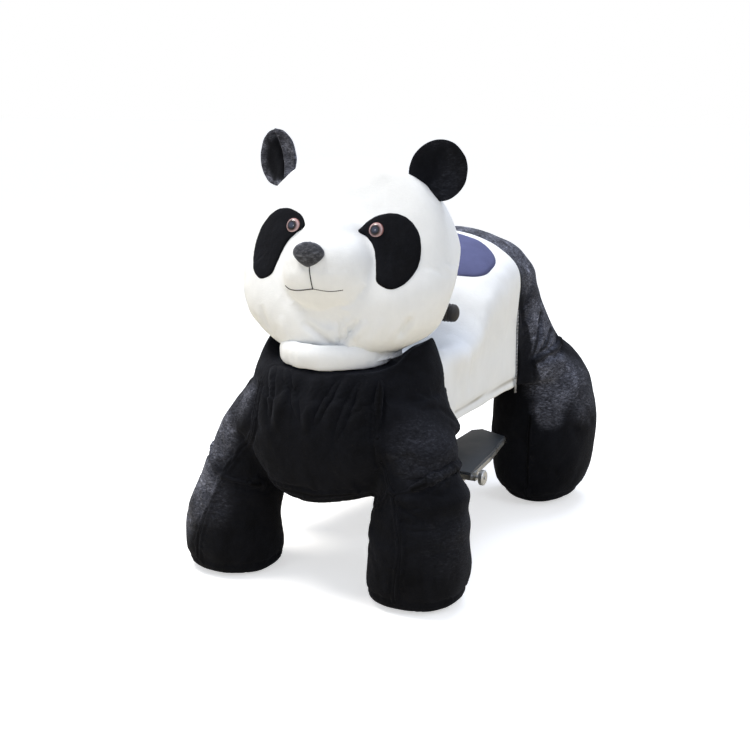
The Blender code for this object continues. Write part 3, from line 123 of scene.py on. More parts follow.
def new_material(name):
    """An empty node material with a Principled shader wired to its output."""
    made = bpy.data.materials.new(name)
    made.use_nodes = True
    tree = made.node_tree
    tree.nodes.clear()
    shader = node(tree, "ShaderNodeBsdfPrincipled")
    out = node(tree, "ShaderNodeOutputMaterial")
    tree.links.new(shader.outputs["BSDF"], out.inputs["Surface"])
    place = node(tree, "ShaderNodeTexCoord").outputs["Object"]
    return made, tree, shader, place


def ramp(tree, factor, stops):
    """A colour ramp through (position, colour) stops."""
    made = node(tree, "ShaderNodeValToRGB", {"Fac": factor})
    elements = made.color_ramp.elements
    while len(elements) < len(stops):
        elements.new(0.5)
    for element, (position, colour) in zip(elements, stops):
        element.position = position
        element.color = colour
    return made.outputs["Color"]


def grey(level):
    return (level, level, level, 1.0)


def per_mm(size):
    """The scale of a noise or wave pattern whose features are this many millimetres wide."""
    return 1000.0 / size


def mix(tree, factor, first, second):
    """One colour over another."""
    made = node(tree, "ShaderNodeMix", data_type="RGBA")
    kinds = {"Factor": "VALUE", "A": "RGBA", "B": "RGBA"}
    places = {s.name: i for i, s in enumerate(made.inputs) if s.type == kinds.get(s.name)}
    fill(tree, made, {places["Factor"]: factor, places["A"]: first, places["B"]: second})
    return next(s for s in made.outputs if s.type == "RGBA")


def grain(tree, place, size, detail, **more):
    """Noise whose features are about this many millimetres wide."""
    inputs = {"Vector": place, "Scale": per_mm(size), "Detail": detail, **more}
    return node(tree, "ShaderNodeTexNoise", inputs).outputs["Fac"]


def bumped(tree, shader, heights, strength, depth):
    """Presses a pattern of heights into the surface, this many metres deep."""
    bump = node(tree, "ShaderNodeBump", {"Height": heights, "Strength": strength, "Distance": depth})
    fill(tree, shader, {"Normal": bump.outputs["Normal"]})


print("helpers ready")

# %% [markdown]
# ## Plush
#
# The cover is short-pile polyester plush, 3 to 4 mm deep. Its fibres stand up and scatter light at
# grazing angles, which Principled sheen gives. Where hands and packing have crushed the pile the
# fibres lie flat and glint, and that glint is painted into the colour as clouds of pale grey specks on
# black plush: a painted highlight. Each cover stores two numbers at its vertices, one for the painted
# shade along its seams and one for the crushed pile with its painted glints, which the material reads.


# %% Plush materials
def plush(name, colour, crushed_glint_colour, seam_shade_colour, clump_gain, sheen, sheen_tint, bump_strength):
    """Short-pile polyester plush. Sheen lifts the outline, small bumps are the fibre tips. The glint of
    crushed pile is painted into the colour, and the seams are darkened with painted shade.
    """
    made, tree, shader, place = new_material(name)
    crush_glint = node(tree, "ShaderNodeAttribute", attribute_name="crush_glint").outputs["Fac"]
    seam_shade = node(tree, "ShaderNodeAttribute", attribute_name="seam_shade").outputs["Fac"]
    # The pile combs downwards, so its clumps are longer than they are wide.
    combed = node(tree, "ShaderNodeMapping", {"Vector": place, "Scale": (1.0, 1.0, 0.55)}).outputs["Vector"]
    crinkled = node(tree, "ShaderNodeMapping", {"Vector": place, "Scale": (0.8, 0.8, 2.0)}).outputs["Vector"]
    strokes = grain(tree, combed, 60, 3.0, Roughness=0.55, Distortion=0.8)
    clumps = grain(tree, combed, 14, 4.0, Roughness=0.6, Distortion=0.6)
    tips = grain(tree, crinkled, 6, 4.0, Roughness=0.75, Distortion=0.5)
    creases = node(tree, "ShaderNodeTexNoise", {"Vector": crinkled, "Scale": per_mm(30), "Detail": 5.0,
                                                "Roughness": 0.72, "Lacunarity": 2.3, "Distortion": 1.4},
                   normalize=True, noise_type="RIDGED_MULTIFRACTAL").outputs["Fac"]
    plain = linear(colour)
    lifted = (*(min(1.0, c * clump_gain) for c in plain[:3]), 1.0)
    both = maths(tree, "DIVIDE", maths(tree, "MULTIPLY_ADD", strokes, 1.6, clumps), 2.6)
    base = mix(tree, ramp(tree, both, ((0.36, grey(0.0)), (0.64, grey(1.0)))), plain, lifted)
    # Where the pile is crushed its tips lie flat and shine. That shine is painted into the colour as pale
    # glints, a fine grain with creases through it: a painted highlight.
    painted_glints = maths(tree, "MULTIPLY_ADD", creases, 0.30, tips)
    painted_glints = ramp(tree, painted_glints, ((0.42, grey(0.10)), (0.58, grey(0.36)), (0.76, grey(1.0))))
    painted_pile_glint = maths(tree, "MULTIPLY", painted_glints, crush_glint)
    base = mix(tree, painted_pile_glint, base, linear(crushed_glint_colour))
    creased = maths(tree, "MULTIPLY", creases, crush_glint)
    heights = maths(tree, "MULTIPLY_ADD", creased, 2.5, maths(tree, "ADD", tips, clumps))
    bumped(tree, shader, heights, bump_strength, 0.0016)
    # Along the seams the colour is darkened and the sheen taken down: painted shade in the seam grooves.
    fill(tree, shader, {"Base Color": mix(tree, seam_shade, base, linear(seam_shade_colour)), "Roughness": 0.86,
                        "Specular IOR Level": maths(tree, "MULTIPLY_ADD", painted_pile_glint, 0.9, 0.08),
                        "Sheen Weight": maths(tree, "MULTIPLY_ADD", seam_shade, -sheen, sheen),
                        "Sheen Roughness": 0.42, "Sheen Tint": linear(sheen_tint)})
    return made


# After each plush's own colour come the colour of its painted crushed-pile glint and the colour of its
# painted seam shade.
black_plush = plush("black_short_pile_plush", "08090d", "9ca1b6", "010102", 2.4, 0.10, "8f96ad", 0.65)
white_plush = plush("white_short_pile_plush", "eaedf0", "f8f9fb", "a8a49a", 1.05, 0.12, "ffffff", 0.30)
grey_plush = plush("grey_violet_plush", "54587c", "8d92ac", "2c2e3b", 1.15, 0.14, "b9bfd6", 0.4)
print("plush:", black_plush.name, white_plush.name, grey_plush.name)

# %% [markdown]
# ## How a cover is shaped
#
# Each stuffed form is a stack of level rings, because sewn panels round a frame give soft oval
# sections. Rings between the measured ones come from a smooth curve through the table. Forms that are
# one sewn cover, such as the chest with its two legs, are joined by a voxel remesh, which also gives
# even faces for the cloth simulation and for pressing seams into the surface.


# %% Rings to solids
def eased(table, at):
    """Smooth values at positions between the rows of a table whose first column is the position."""
    rows = np.array(table, float)
    x, y = rows[:, 0], rows[:, 1:]
    slope = np.gradient(y, x, axis=0)
    i = np.clip(np.searchsorted(x, at) - 1, 0, len(x) - 2)
    h = (x[i + 1] - x[i])[:, None]
    t = np.clip((at - x[i])[:, None] / h, 0, 1)
    a, b = y[i], y[i + 1]
    return ((2 * t ** 3 - 3 * t ** 2 + 1) * a + (t ** 3 - 2 * t ** 2 + t) * h * slope[i]
            + (3 * t ** 2 - 2 * t ** 3) * b + (t ** 3 - t ** 2) * h * slope[i + 1])


def straight(table, at):
    """Values on straight lines between the points of a two-column table."""
    rows = np.array(table, float)
    return np.interp(at, rows[:, 0], rows[:, 1])


def ease(value, low, high):
    """0 below low, 1 above high, and a soft S between them."""
    t = np.clip((value - low) / (high - low), 0, 1)
    return t * t * (3 - 2 * t)


def ring(half_width, front, rear, power, rear_power, count):
    """X and Y offsets of a superellipse with different reach to the front and to the rear."""
    angle = np.arange(count) * math.tau / count
    c, s = np.cos(angle), np.sin(angle)
    used = np.where(s > 0, rear_power, power)
    x = half_width * np.sign(c) * np.abs(c) ** (2 / used)
    y = np.where(s > 0, rear, front) * np.sign(s) * np.abs(s) ** (2 / used)
    return x, y


def stack(table, step, count):
    """Level rings from rows of height, centre X, centre Y, half width, front, rear, power, rear power."""
    low, high = table[0][0], table[-1][0]
    levels = np.linspace(low, high, max(8, int((high - low) / step)))
    rows = eased(table, levels)
    rings = []
    for z, (cx, cy, half, front, rear, power, rear_power) in zip(levels, rows):
        x, y = ring(max(half, 0.002), max(front, 0.002), max(rear, 0.002), power, rear_power, count)
        rings.append(np.stack([cx + x, cy + y, np.full(count, z)], 1))
    return rings


def skin(rings, closed=True, looped=True):
    """A bmesh over rings of equal count, with flat ends if closed, or over open rows if not looped."""
    made = bmesh.new()
    rows = [[made.verts.new(p) for p in r] for r in rings]
    for row, after in zip(rows, rows[1:]):
        for i in range(len(row) - (0 if looped else 1)):
            j = (i + 1) % len(row)
            made.faces.new((row[i], row[j], after[j], after[i]))
    if closed:
        made.faces.new(rows[0][::-1])
        made.faces.new(rows[-1])
        bmesh.ops.recalc_face_normals(made, faces=made.faces)
    return made


def mesh_of(obj):
    """A bmesh with an object's mesh, to be changed."""
    made = bmesh.new()
    made.from_mesh(obj.data)
    made.verts.ensure_lookup_table()
    return made


def put_mesh(obj, made):
    """Writes a changed bmesh back to its object."""
    made.to_mesh(obj.data)
    made.free()
    return obj


def object_of(name, made):
    """A mesh object from a bmesh, linked to the scene."""
    result = bpy.data.objects.new(name, bpy.data.meshes.new(name))
    bpy.context.scene.collection.objects.link(result)
    return put_mesh(result, made)


def baked(obj):
    """Applies every modifier of an object."""
    evaluated = obj.evaluated_get(bpy.context.evaluated_depsgraph_get())
    mesh = bpy.data.meshes.new_from_object(evaluated)
    obj.modifiers.clear()
    old = obj.data
    obj.data = mesh
    bpy.data.meshes.remove(old)
    return obj


def smoothed(obj, rounds):
    """Applies every modifier of an object after a smoothing that rounds its edges off."""
    smooth = obj.modifiers.new("smooth", "SMOOTH")
    smooth.factor = 0.5
    smooth.iterations = rounds
    return baked(obj)


def fused(name, solids, voxel, rounds):
    """Several closed solids as one even skin, with its edges rounded off as stuffing rounds them."""
    whole = bmesh.new()
    for solid in solids:
        mesh = bpy.data.meshes.new("part")
        solid.to_mesh(mesh)
        solid.free()
        whole.from_mesh(mesh)
        bpy.data.meshes.remove(mesh)
    result = object_of(name, whole)
    remesh = result.modifiers.new("remesh", "REMESH")
    remesh.mode = "VOXEL"
    remesh.voxel_size = voxel
    return smoothed(result, rounds)


def points_of(obj):
    co = np.empty(len(obj.data.vertices) * 3)
    obj.data.vertices.foreach_get("co", co)
    return co.reshape(-1, 3)


def normals_of(obj):
    found = np.empty(len(obj.data.vertices) * 3, np.float32)
    obj.data.vertex_normals.foreach_get("vector", found)
    return found.reshape(-1, 3).astype(float)


def put_points(obj, co):
    obj.data.vertices.foreach_set("co", co.ravel())
    obj.data.update()


def stored(obj, name, values):
    """Keeps one number for each vertex, for the material to read."""
    found = obj.data.attributes.get(name) or obj.data.attributes.new(name, "FLOAT", "POINT")
    found.data.foreach_set("value", np.clip(values, 0, 1).astype(np.float32))


print("shape helpers ready")

# %% [markdown]
# ## Seams, folds and filling
#
# A seam pulls the cover in along a line, so points near the line move inwards, and the line itself is
# darkened with painted shade. A fold is a soft ridge or a soft valley. Both are given as a few points in
# millimetres on the cover. The filling is a short cloth simulation with pressure inside, where the seams
# stay put and the panels between them swell and pucker.


# %% Lines pressed into a cover
def near_line(co, line):
    """Distance of each point to a line of points, and how far along the line that is, from 0 to 1."""
    best = np.full(len(co), 1e9)
    along = np.zeros(len(co))
    points = np.array(line, float)
    lengths = np.linalg.norm(np.diff(points, axis=0), axis=1)
    done = 0.0
    for a, b, length in zip(points, points[1:], lengths):
        d = b - a
        t = np.clip((co - a) @ d / (length * length), 0, 1)
        dist = np.linalg.norm(co - (a + t[:, None] * d), axis=1)
        better = dist < best
        best[better] = dist[better]
        along[better] = done + t[better] * length
        done += length
    return best, along / done


def smooth_line(line, steps=8):
    """The same line rounded between its points."""
    p = np.array(line, float)
    at = np.arange(len(p), dtype=float)
    table = np.column_stack([at, p])
    return eased(table, np.linspace(0, len(p) - 1, (len(p) - 1) * steps + 1))


def mm(*points):
    """Points given in millimetres, as a list in metres."""
    return [tuple(v / 1000 for v in p) for p in points]


def mirrored(line):
    return [(-x, y, z) for x, y, z in line]


def both_sides(rows):
    """Rows that begin with a line, and after them the same rows mirrored."""
    return rows + [(mirrored(line), *rest) for line, *rest in rows]


def tree_of(obj):
    faces = [tuple(f.vertices) for f in obj.data.polygons]
    return BVHTree.FromPolygons([v.co for v in obj.data.vertices], faces)


def laid_on(tree, line):
    """A rounded line with each point moved to the nearest place on a cover."""
    return [tree.find_nearest(Vector(q))[0] for q in smooth_line(line)]


def swell_noise(co, size, seed):
    """Soft noise between -1 and 1 with features of this size in metres."""
    shift = Vector((seed * 7.3, seed * 3.1, seed * 5.7))
    return np.array([noise.noise(Vector(p) / size + shift) for p in co])


def press(obj, seams=(), folds=(), lumps=()):
    """Presses seams (line, depth, width) and folds (line, height, width) in, and stores the seam lines,
    which the material darkens as painted shade.
    """
    co = points_of(obj)
    normal = normals_of(obj)
    move = np.zeros(len(co))
    painted_seam_shade = np.zeros(len(co))
    tree = tree_of(obj)
    for line, depth, width in seams:
        dist, along = near_line(co, laid_on(tree, line))
        fade = np.minimum(1.0, np.minimum(along, 1 - along) / 0.04 + 0.25)
        move -= depth * np.exp(-(dist / width) ** 2) * fade
        painted_seam_shade = np.maximum(painted_seam_shade, np.exp(-(dist / (width * 0.34)) ** 2) * fade)
    for line, height, width in folds:
        dist, along = near_line(co, laid_on(tree, line))
        fade = np.sin(np.pi * np.clip(along, 0.02, 0.98)) ** 0.7
        move += height * np.exp(-(dist / width) ** 2) * fade
    for size, height, seed in lumps:
        move += height * swell_noise(co, size, seed)
    put_points(obj, co + normal * move[:, None])
    # The seam lines are kept for the material to darken: painted shade along the seams.
    stored(obj, "seam_shade", painted_seam_shade * 0.9)
    return obj


CLOTH_PRESSURE = 4.0
CLOTH_FRAMES = 20


def fill_out(obj, held, grow, cap, smaller=0.005):
    """Swells a cover by cloth simulation. It stays put where held is 1, and no point moves past the cap."""
    start = points_of(obj)
    put_points(obj, start - normals_of(obj) * (smaller * (1 - held))[:, None])
    group = obj.vertex_groups.new(name="sewn")
    for share in np.unique(np.round(held, 1)):
        if share > 0:
            alike = [int(i) for i in np.nonzero(np.abs(held - share) < 0.05)[0]]
            group.add(alike, float(share), "REPLACE")
    cloth = obj.modifiers.new("cloth", "CLOTH")
    cloth.settings.vertex_group_mass = "sewn"
    cloth.settings.pin_stiffness = 1.0
    cloth.settings.use_pressure = True
    cloth.settings.uniform_pressure_force = CLOTH_PRESSURE
    cloth.settings.shrink_min = -grow
    cloth.settings.quality = 4
    cloth.settings.effector_weights.gravity = 0.0
    cloth.collision_settings.use_collision = False
    scene = bpy.context.scene
    for step in range(1, CLOTH_FRAMES + 1):
        scene.frame_set(step)
    baked(obj)
    scene.frame_set(1)
    obj.vertex_groups.clear()
    moved = points_of(obj) - start
    far = np.linalg.norm(moved, axis=1)
    put_points(obj, start + moved * np.minimum(1, cap / np.maximum(far, 1e-9))[:, None])
    print(obj.name, "swelled by up to", round(float(min(far.max(), cap)) * 1000, 1), "mm")
    return obj


def opened(obj, outside):
    """Cuts away the faces whose middle and normal pass a test."""
    made = mesh_of(obj)
    gone = [f for f in made.faces if outside(f.calc_center_median(), f.normal)]
    bmesh.ops.delete(made, geom=gone, context="FACES")
    return put_mesh(obj, made)


def line_distance(obj, lines):
    """Distance of each of a cover's points to the nearest of several lines laid on it."""
    tree = tree_of(obj)
    co = points_of(obj)
    return np.min([near_line(co, laid_on(tree, line))[0] for line in lines], axis=0)


def refined(obj, lines):
    """Finer faces along lines, so that seams and folds come out sharp."""
    near = line_distance(obj, lines) < REFINED_REACH
    made = mesh_of(obj)
    edges = [e for e in made.edges if near[e.verts[0].index] and near[e.verts[1].index]]
    bmesh.ops.subdivide_edges(made, edges=edges, cuts=1, use_grid_fill=True, smooth=0.35)
    bmesh.ops.triangulate(made, faces=[f for f in made.faces if len(f.verts) > 4])
    return put_mesh(obj, made)


def held_share(obj, lines, fixed):
    """1 where the cover is sewn or fixed, falling to 0 in the free cloth between."""
    held = 1 - ease(line_distance(obj, lines), 0.003, 0.012)
    return np.maximum(held, fixed)


def clouds(co, spots, seed):
    """Ragged soft spots at (x, y, z, radius, strength), as crushed pile lies, where the material paints its
    glints.
    """
    share = np.zeros(len(co))
    for x, y, z, radius, strength in spots:
        away = np.linalg.norm(co - np.array((x, y, z)), axis=1)
        share = np.maximum(share, strength * (1 - ease(away, radius * 0.45, radius)))
    return share * (0.75 + 0.5 * swell_noise(co, 0.035, seed))


def beyond(co, line, axis, side, soft=0.008):
    """1 on one side of a seam line, compared at the same height, else 0."""
    p = np.array(sorted(line, key=lambda q: q[2]))
    edge = np.interp(co[:, 2], p[:, 2], p[:, axis])
    return ease(side * (co[:, axis] - edge), -soft * 0.2, soft)


def lined(obj, thickness):
    """A wall of plush and stuffing inwards from the cover."""
    wall = obj.modifiers.new("wall", "SOLIDIFY")
    wall.thickness = thickness
    wall.offset = -1.0
    wall.use_even_offset = False
    return baked(obj)


def finished(obj, body, slot_name, finish, *stands_for):
    """Smooth shading, material, a parent that ties the piece to its body of the frame, and the frame pieces
    it stands for hidden.
    """
    obj.data.materials.clear()
    obj.data.materials.append(finish)
    obj.data.shade_smooth()
    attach(obj, body)
    if stands_for:
        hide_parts(*stands_for)
    print(obj.name, len(obj.data.vertices), "vertices")
    return obj


VOXEL = 0.0055
WALL = 0.0055
REFINED_REACH = 0.016
UNDERSIDE = 0.0075
print("cover helpers ready")

# %% [markdown]
# ## Chest and front legs
#
# The chest is a broad bib of black plush that drapes from the collar over the shoulders. Each leg is
# sewn to it at a crease above the knee. They are one cover here, so the chest runs into the legs
# without a step, as stuffed fabric does.

# %% Front body
FRONT_AXLE_Y = -0.36
CHEST_MIDDLE = -0.27
NECK_Y = -0.30
CHEST_ROWS = (
    # height, half width, front, rear, squareness in front and behind
    (0.176, 0.080, -0.418, -0.262, 2.3, 2.6), (0.181, 0.098, -0.435, -0.250, 2.4, 2.6),
    (0.195, 0.118, -0.443, -0.236, 2.5, 2.6), (0.240, 0.160, -0.451, -0.205, 2.6, 2.6),
    (0.280, 0.205, -0.453, -0.195, 2.6, 2.8), (0.310, 0.226, -0.451, -0.190, 2.5, 3.0),
    (0.350, 0.219, -0.446, -0.190, 2.3, 3.3), (0.385, 0.199, -0.436, -0.190, 2.2, 3.3),
    (0.408, 0.185, -0.424, -0.192, 2.2, 3.3), (0.424, 0.172, -0.410, -0.198, 2.2, 3.3),
    (0.434, 0.148, -0.392, -0.205, 2.2, 3.3))


def front_cut(z):
    """The slanted seam between chest and body."""
    return -0.190 - 0.225 * (z - 0.30)


def chest_solid():
    table = [(z, 0.0, CHEST_MIDDLE, half, CHEST_MIDDLE - front, rear - CHEST_MIDDLE, before, behind)
             for z, half, front, rear, before, behind in CHEST_ROWS]
    rings = []
    for r in stack(table, 0.005, 120):
        x, y, z = r[:, 0], r[:, 1], r[:, 2]
        # The neck edge leans a little, and the corners of the shoulders stand up behind the collar.
        tilt = 0.03 * np.clip((z - 0.33) / 0.094, 0, 1) * (y - NECK_Y)
        rise = 0.062 * ease(np.abs(x), 0.080, 0.160) * ease(y, -0.36, -0.23) * ease(z, 0.35, 0.424)
        z = z + tilt + rise
        y = np.minimum(y, front_cut(z) - 0.001)
        rings.append(np.stack([x, y, z], 1))
    return skin(rings)


FRONT_LEG_ROWS = (
    # height, X, shift to the rear, radius
    (0.0045, 0.200, 0.000, 0.077), (0.010, 0.200, 0.000, 0.086), (0.020, 0.201, 0.000, 0.0925),
    (0.040, 0.203, 0.000, 0.0965), (0.070, 0.204, 0.000, 0.0975), (0.105, 0.203, 0.000, 0.0960),
    (0.150, 0.199, 0.004, 0.0930), (0.190, 0.192, 0.009, 0.0870), (0.230, 0.182, 0.014, 0.0830),
    (0.270, 0.168, 0.022, 0.0820), (0.310, 0.152, 0.034, 0.0820), (0.350, 0.133, 0.044, 0.0800),
    (0.380, 0.118, 0.050, 0.0700), (0.400, 0.110, 0.052, 0.0450))


def front_leg_solid(side):
    table = [(z, side * x, FRONT_AXLE_Y + back, r, r, r, 2.15, 2.15) for z, x, back, r in FRONT_LEG_ROWS]
    return skin(stack(table, 0.005, 80))


front_body = fused("front_body_plush", [chest_solid(), front_leg_solid(1), front_leg_solid(-1)], VOXEL, 10)
print("front body", len(front_body.data.vertices))

# %% [markdown]
# The collar of the head sits in a shallow hollow of the chest, which is pushed down here so that the
# head can turn. Then come the seams: one down the front of each leg from the shoulder, one round each
# knee, and one along the belly. Under the collar the cloth hangs in a few slanting folds.

# %% Front body seams and folds
COLLAR_SEAT = 0.4265
RIGHT_SHOULDER_SEAM = mm((-117, -399, 395), (-112, -433, 335), (-116, -437, 297), (-142, -424, 264),
                         (-160, -427, 240), (-181, -434, 207), (-198, -444, 167), (-217, -454, 115),
                         (-230, -455, 70), (-233, -450, 30))
LEFT_SHOULDER_SEAM = mm((129, -371, 416), (147, -417, 335), (157, -419, 280), (172, -426, 240),
                        (184, -431, 215), (200, -443, 171), (210, -452, 130), (206, -457, 72),
                        (201, -452, 22))
LEFT_KNEE = mm((118, -395, 190), (150, -425, 205), (172, -432, 226), (184, -432, 223), (216, -424, 233),
               (242, -394, 247), (256, -350, 256), (258, -300, 258))
RIGHT_KNEE = mm((-112, -395, 186), (-140, -430, 196), (-181, -436, 205), (-215, -425, 222),
                (-242, -394, 240), (-256, -350, 250), (-258, -300, 252))
BELLY_EDGE = mm((-105, -420, 197), (-22, -447, 200), (48, -445, 196), (108, -420, 194))
# Each fold: its line, its height (below zero for a valley) and its width. The first ones fan down from
# the collar, the later ones cross the arms.
DRAPES = [
    (mm((-62, -385, 425), (-40, -415, 408), (-12, -438, 370), (18, -450, 318)), -0.0085, 0.0095),
    (mm((70, -388, 424), (62, -414, 408), (46, -438, 370), (22, -452, 312)), -0.0085, 0.0090),
    (mm((20, -400, 420), (21, -425, 400), (21, -445, 360), (24, -452, 280)), 0.0060, 0.014),
    (mm((106, -376, 422), (98, -402, 405), (90, -432, 364), (70, -448, 290)), -0.0075, 0.0100),
    (mm((-100, -372, 424), (-82, -402, 408), (-72, -436, 362), (-44, -452, 296)), -0.0075, 0.0105),
    (mm((131, -366, 420), (142, -396, 380), (150, -412, 330)), -0.0070, 0.009),
    (mm((-10, -400, 420), (-26, -425, 398), (-46, -446, 350), (-60, -450, 300)), 0.0050, 0.013),
    (mm((116, -380, 418), (116, -412, 385), (114, -438, 300)), 0.0050, 0.013),
    (mm((80, -395, 420), (74, -420, 396), (58, -448, 330)), 0.0045, 0.011),
    (mm((172, -434, 222), (205, -432, 214), (240, -405, 222)), 0.0045, 0.008),
    (mm((186, -430, 252), (214, -420, 258), (240, -392, 272)), -0.0050, 0.008),
    (mm((150, -428, 330), (176, -428, 290), (204, -408, 262)), 0.0035, 0.010),
    (mm((192, -432, 205), (222, -432, 196), (250, -412, 200)), -0.0045, 0.007),
    (mm((200, -440, 185), (228, -438, 168), (258, -410, 165)), -0.0040, 0.008),
    (mm((-128, -434, 330), (-150, -428, 300), (-176, -420, 285)), 0.0035, 0.009),
    (mm((-177, -419, 262), (-166, -425, 250), (-150, -436, 236)), -0.0040, 0.006),
    (mm((-205, -395, 285), (-192, -420, 240), (-190, -435, 205)), -0.0030, 0.009),
    (mm((-235, -352, 300), (-250, -372, 240), (-262, -385, 180)), -0.0035, 0.011),
    (mm((205, -402, 290), (222, -405, 262), (240, -385, 250)), -0.0030, 0.010),
    (mm((225, -420, 205), (245, -420, 170), (262, -400, 140)), -0.0025, 0.010),
    (mm((-150, -440, 165), (-170, -448, 150), (-195, -450, 120)), -0.0020, 0.008),
]
FRONT_SEAMS = [(RIGHT_SHOULDER_SEAM, 0.0060, 0.0048), (LEFT_SHOULDER_SEAM, 0.0060, 0.0048),
               (LEFT_KNEE, 0.0070, 0.0075), (RIGHT_KNEE, 0.0070, 0.0065), (BELLY_EDGE, 0.0030, 0.005)]
FRONT_LINES = [line for line, _, _ in FRONT_SEAMS]

STEER_Y = -0.28
STEER_LIMIT = math.radians(25)
NECK_SLOPE = 0.015
COLLAR_OUTSIDE = 0.121
HEAD_REACH = 0.23
# The head's underside: distance from the steering axis, and how high the chest may reach there.
UNDER_HEAD = ((0.0, 0.425), (0.078, 0.427), (0.112, 0.442), (0.162, 0.4655), (0.200, 0.497), (0.230, 0.534))
# Each swell of the left arm: its height, its reach up and down, and how far it stands out.
LEFT_ARM_SWELLS = ((0.300, 0.024, 0.012), (0.258, 0.022, 0.007), (0.208, 0.022, 0.013))


def sunk_for_collar(co):
    """Keeps the chest below collar and head wherever they stand between the steering stops."""
    x, y, z = co.T
    back = y - STEER_Y
    lowest = np.minimum(back, back * math.cos(STEER_LIMIT) - np.abs(x) * math.sin(STEER_LIMIT))
    away = np.hypot(x, y - NECK_Y)
    # Beside the collar the chest may rise again, more steeply at the back than in front.
    flare = (0.35 + 0.75 * ease(y, -0.36, -0.27)) * np.maximum(0, away - COLLAR_OUTSIDE)
    floor = COLLAR_SEAT + NECK_SLOPE * (lowest + STEER_Y - NECK_Y) + flare
    floor = np.minimum(floor, straight(UNDER_HEAD, np.hypot(x, back)))
    out = co.copy()
    out[:, 2] = np.where((z > floor) & (away < HEAD_REACH), floor, z)
    return out


def softened(obj, chosen, rounds):
    """Rounds off the chosen points of a cover."""
    made = mesh_of(obj)
    picked = [made.verts[int(i)] for i in np.nonzero(chosen)[0]]
    for _ in range(rounds):
        bmesh.ops.smooth_vert(made, verts=picked, factor=0.5, use_axis_x=True, use_axis_y=True,
                              use_axis_z=True)
    return put_mesh(obj, made)


def leaned(co):
    """The right arm lies closer to the body, and the left one stands off and swells between its folds."""
    x, y, z = co.T
    out = co.copy()
    rising = ease(z, 0.09, 0.19)
    out[:, 0] += (0.0085 * rising + 0.0075 * ease(z, 0.30, 0.36)) * ease(-x, 0.05, 0.14)
    stands_off = (0.004 + 0.006 * ease(z, 0.12, 0.16)) * ease(z, 0.03, 0.08) * (1 - ease(z, 0.28, 0.35))
    swollen = sum(most * np.exp(-((z - height) / reach) ** 2) for height, reach, most in LEFT_ARM_SWELLS)
    out[:, 0] += (stands_off + swollen) * ease(x, 0.05, 0.14)
    return out


SHOULDER_Z = 0.375
NECK_Z = 0.415
put_points(front_body, leaned(sunk_for_collar(points_of(front_body))))
softened(front_body, points_of(front_body)[:, 2] > SHOULDER_Z, 8)
start = points_of(front_body)
# While it swells, the cover is held at the feet, round the neck and at the seam of the white body.
fixed = np.maximum.reduce([1 - ease(start[:, 2], 0.010, 0.030), ease(start[:, 2], SHOULDER_Z, NECK_Z),
                           ease(start[:, 1] - front_cut(start[:, 2]), -0.030, -0.004)])
fill_out(front_body, held_share(front_body, FRONT_LINES, fixed), 0.03, 0.005)
# It is open under the feet and where the white body goes in.
opened(front_body, lambda c, n: (c.z < UNDERSIDE and n.z < -0.6)
       or (c.y > front_cut(c.z) - 0.012 and n.y > 0.5 and c.z > 0.31))
lined(front_body, WALL)
refined(front_body, FRONT_LINES + [line for line, _, _ in DRAPES])
press(front_body, FRONT_SEAMS, DRAPES, [(0.060, 0.0022, 1), (0.026, 0.0009, 2)])
put_points(front_body, sunk_for_collar(points_of(front_body)))
# Crushed pile on the right arm and shoulder, and a little on the left, where the material paints pale
# glints: painted highlights, mostly on the outer side of the right arm.
CRUSH_GLINT_FRONT = [(-0.26, -0.38, 0.19, 0.09, 0.95), (-0.23, -0.40, 0.28, 0.085, 0.85),
                 (-0.27, -0.38, 0.10, 0.08, 0.75), (0.25, -0.36, 0.12, 0.10, 0.10),
                 (-0.21, -0.44, 0.15, 0.07, 0.6), (0.23, -0.38, 0.30, 0.09, 0.12),
                 (-0.17, -0.40, 0.36, 0.06, 0.5)]
shaped = points_of(front_body)
front_crush_glint = clouds(shaped, CRUSH_GLINT_FRONT, 3)
outer_side = np.where(shaped[:, 0] < 0, beyond(shaped, RIGHT_SHOULDER_SEAM, 0, -1), 1.0)
stored(front_body, "crush_glint", front_crush_glint * (0.25 + 0.75 * outer_side))
finished(front_body, "chassis", "black_plush", black_plush, "chest_cover", "front_leg_cover_left",
         "front_leg_cover_right")

# %% [markdown]
# ## Rump and rear legs
#
# The rear is the same idea: a rounded rump that starts at the zip behind the seat and runs down into
# two thick thighs.

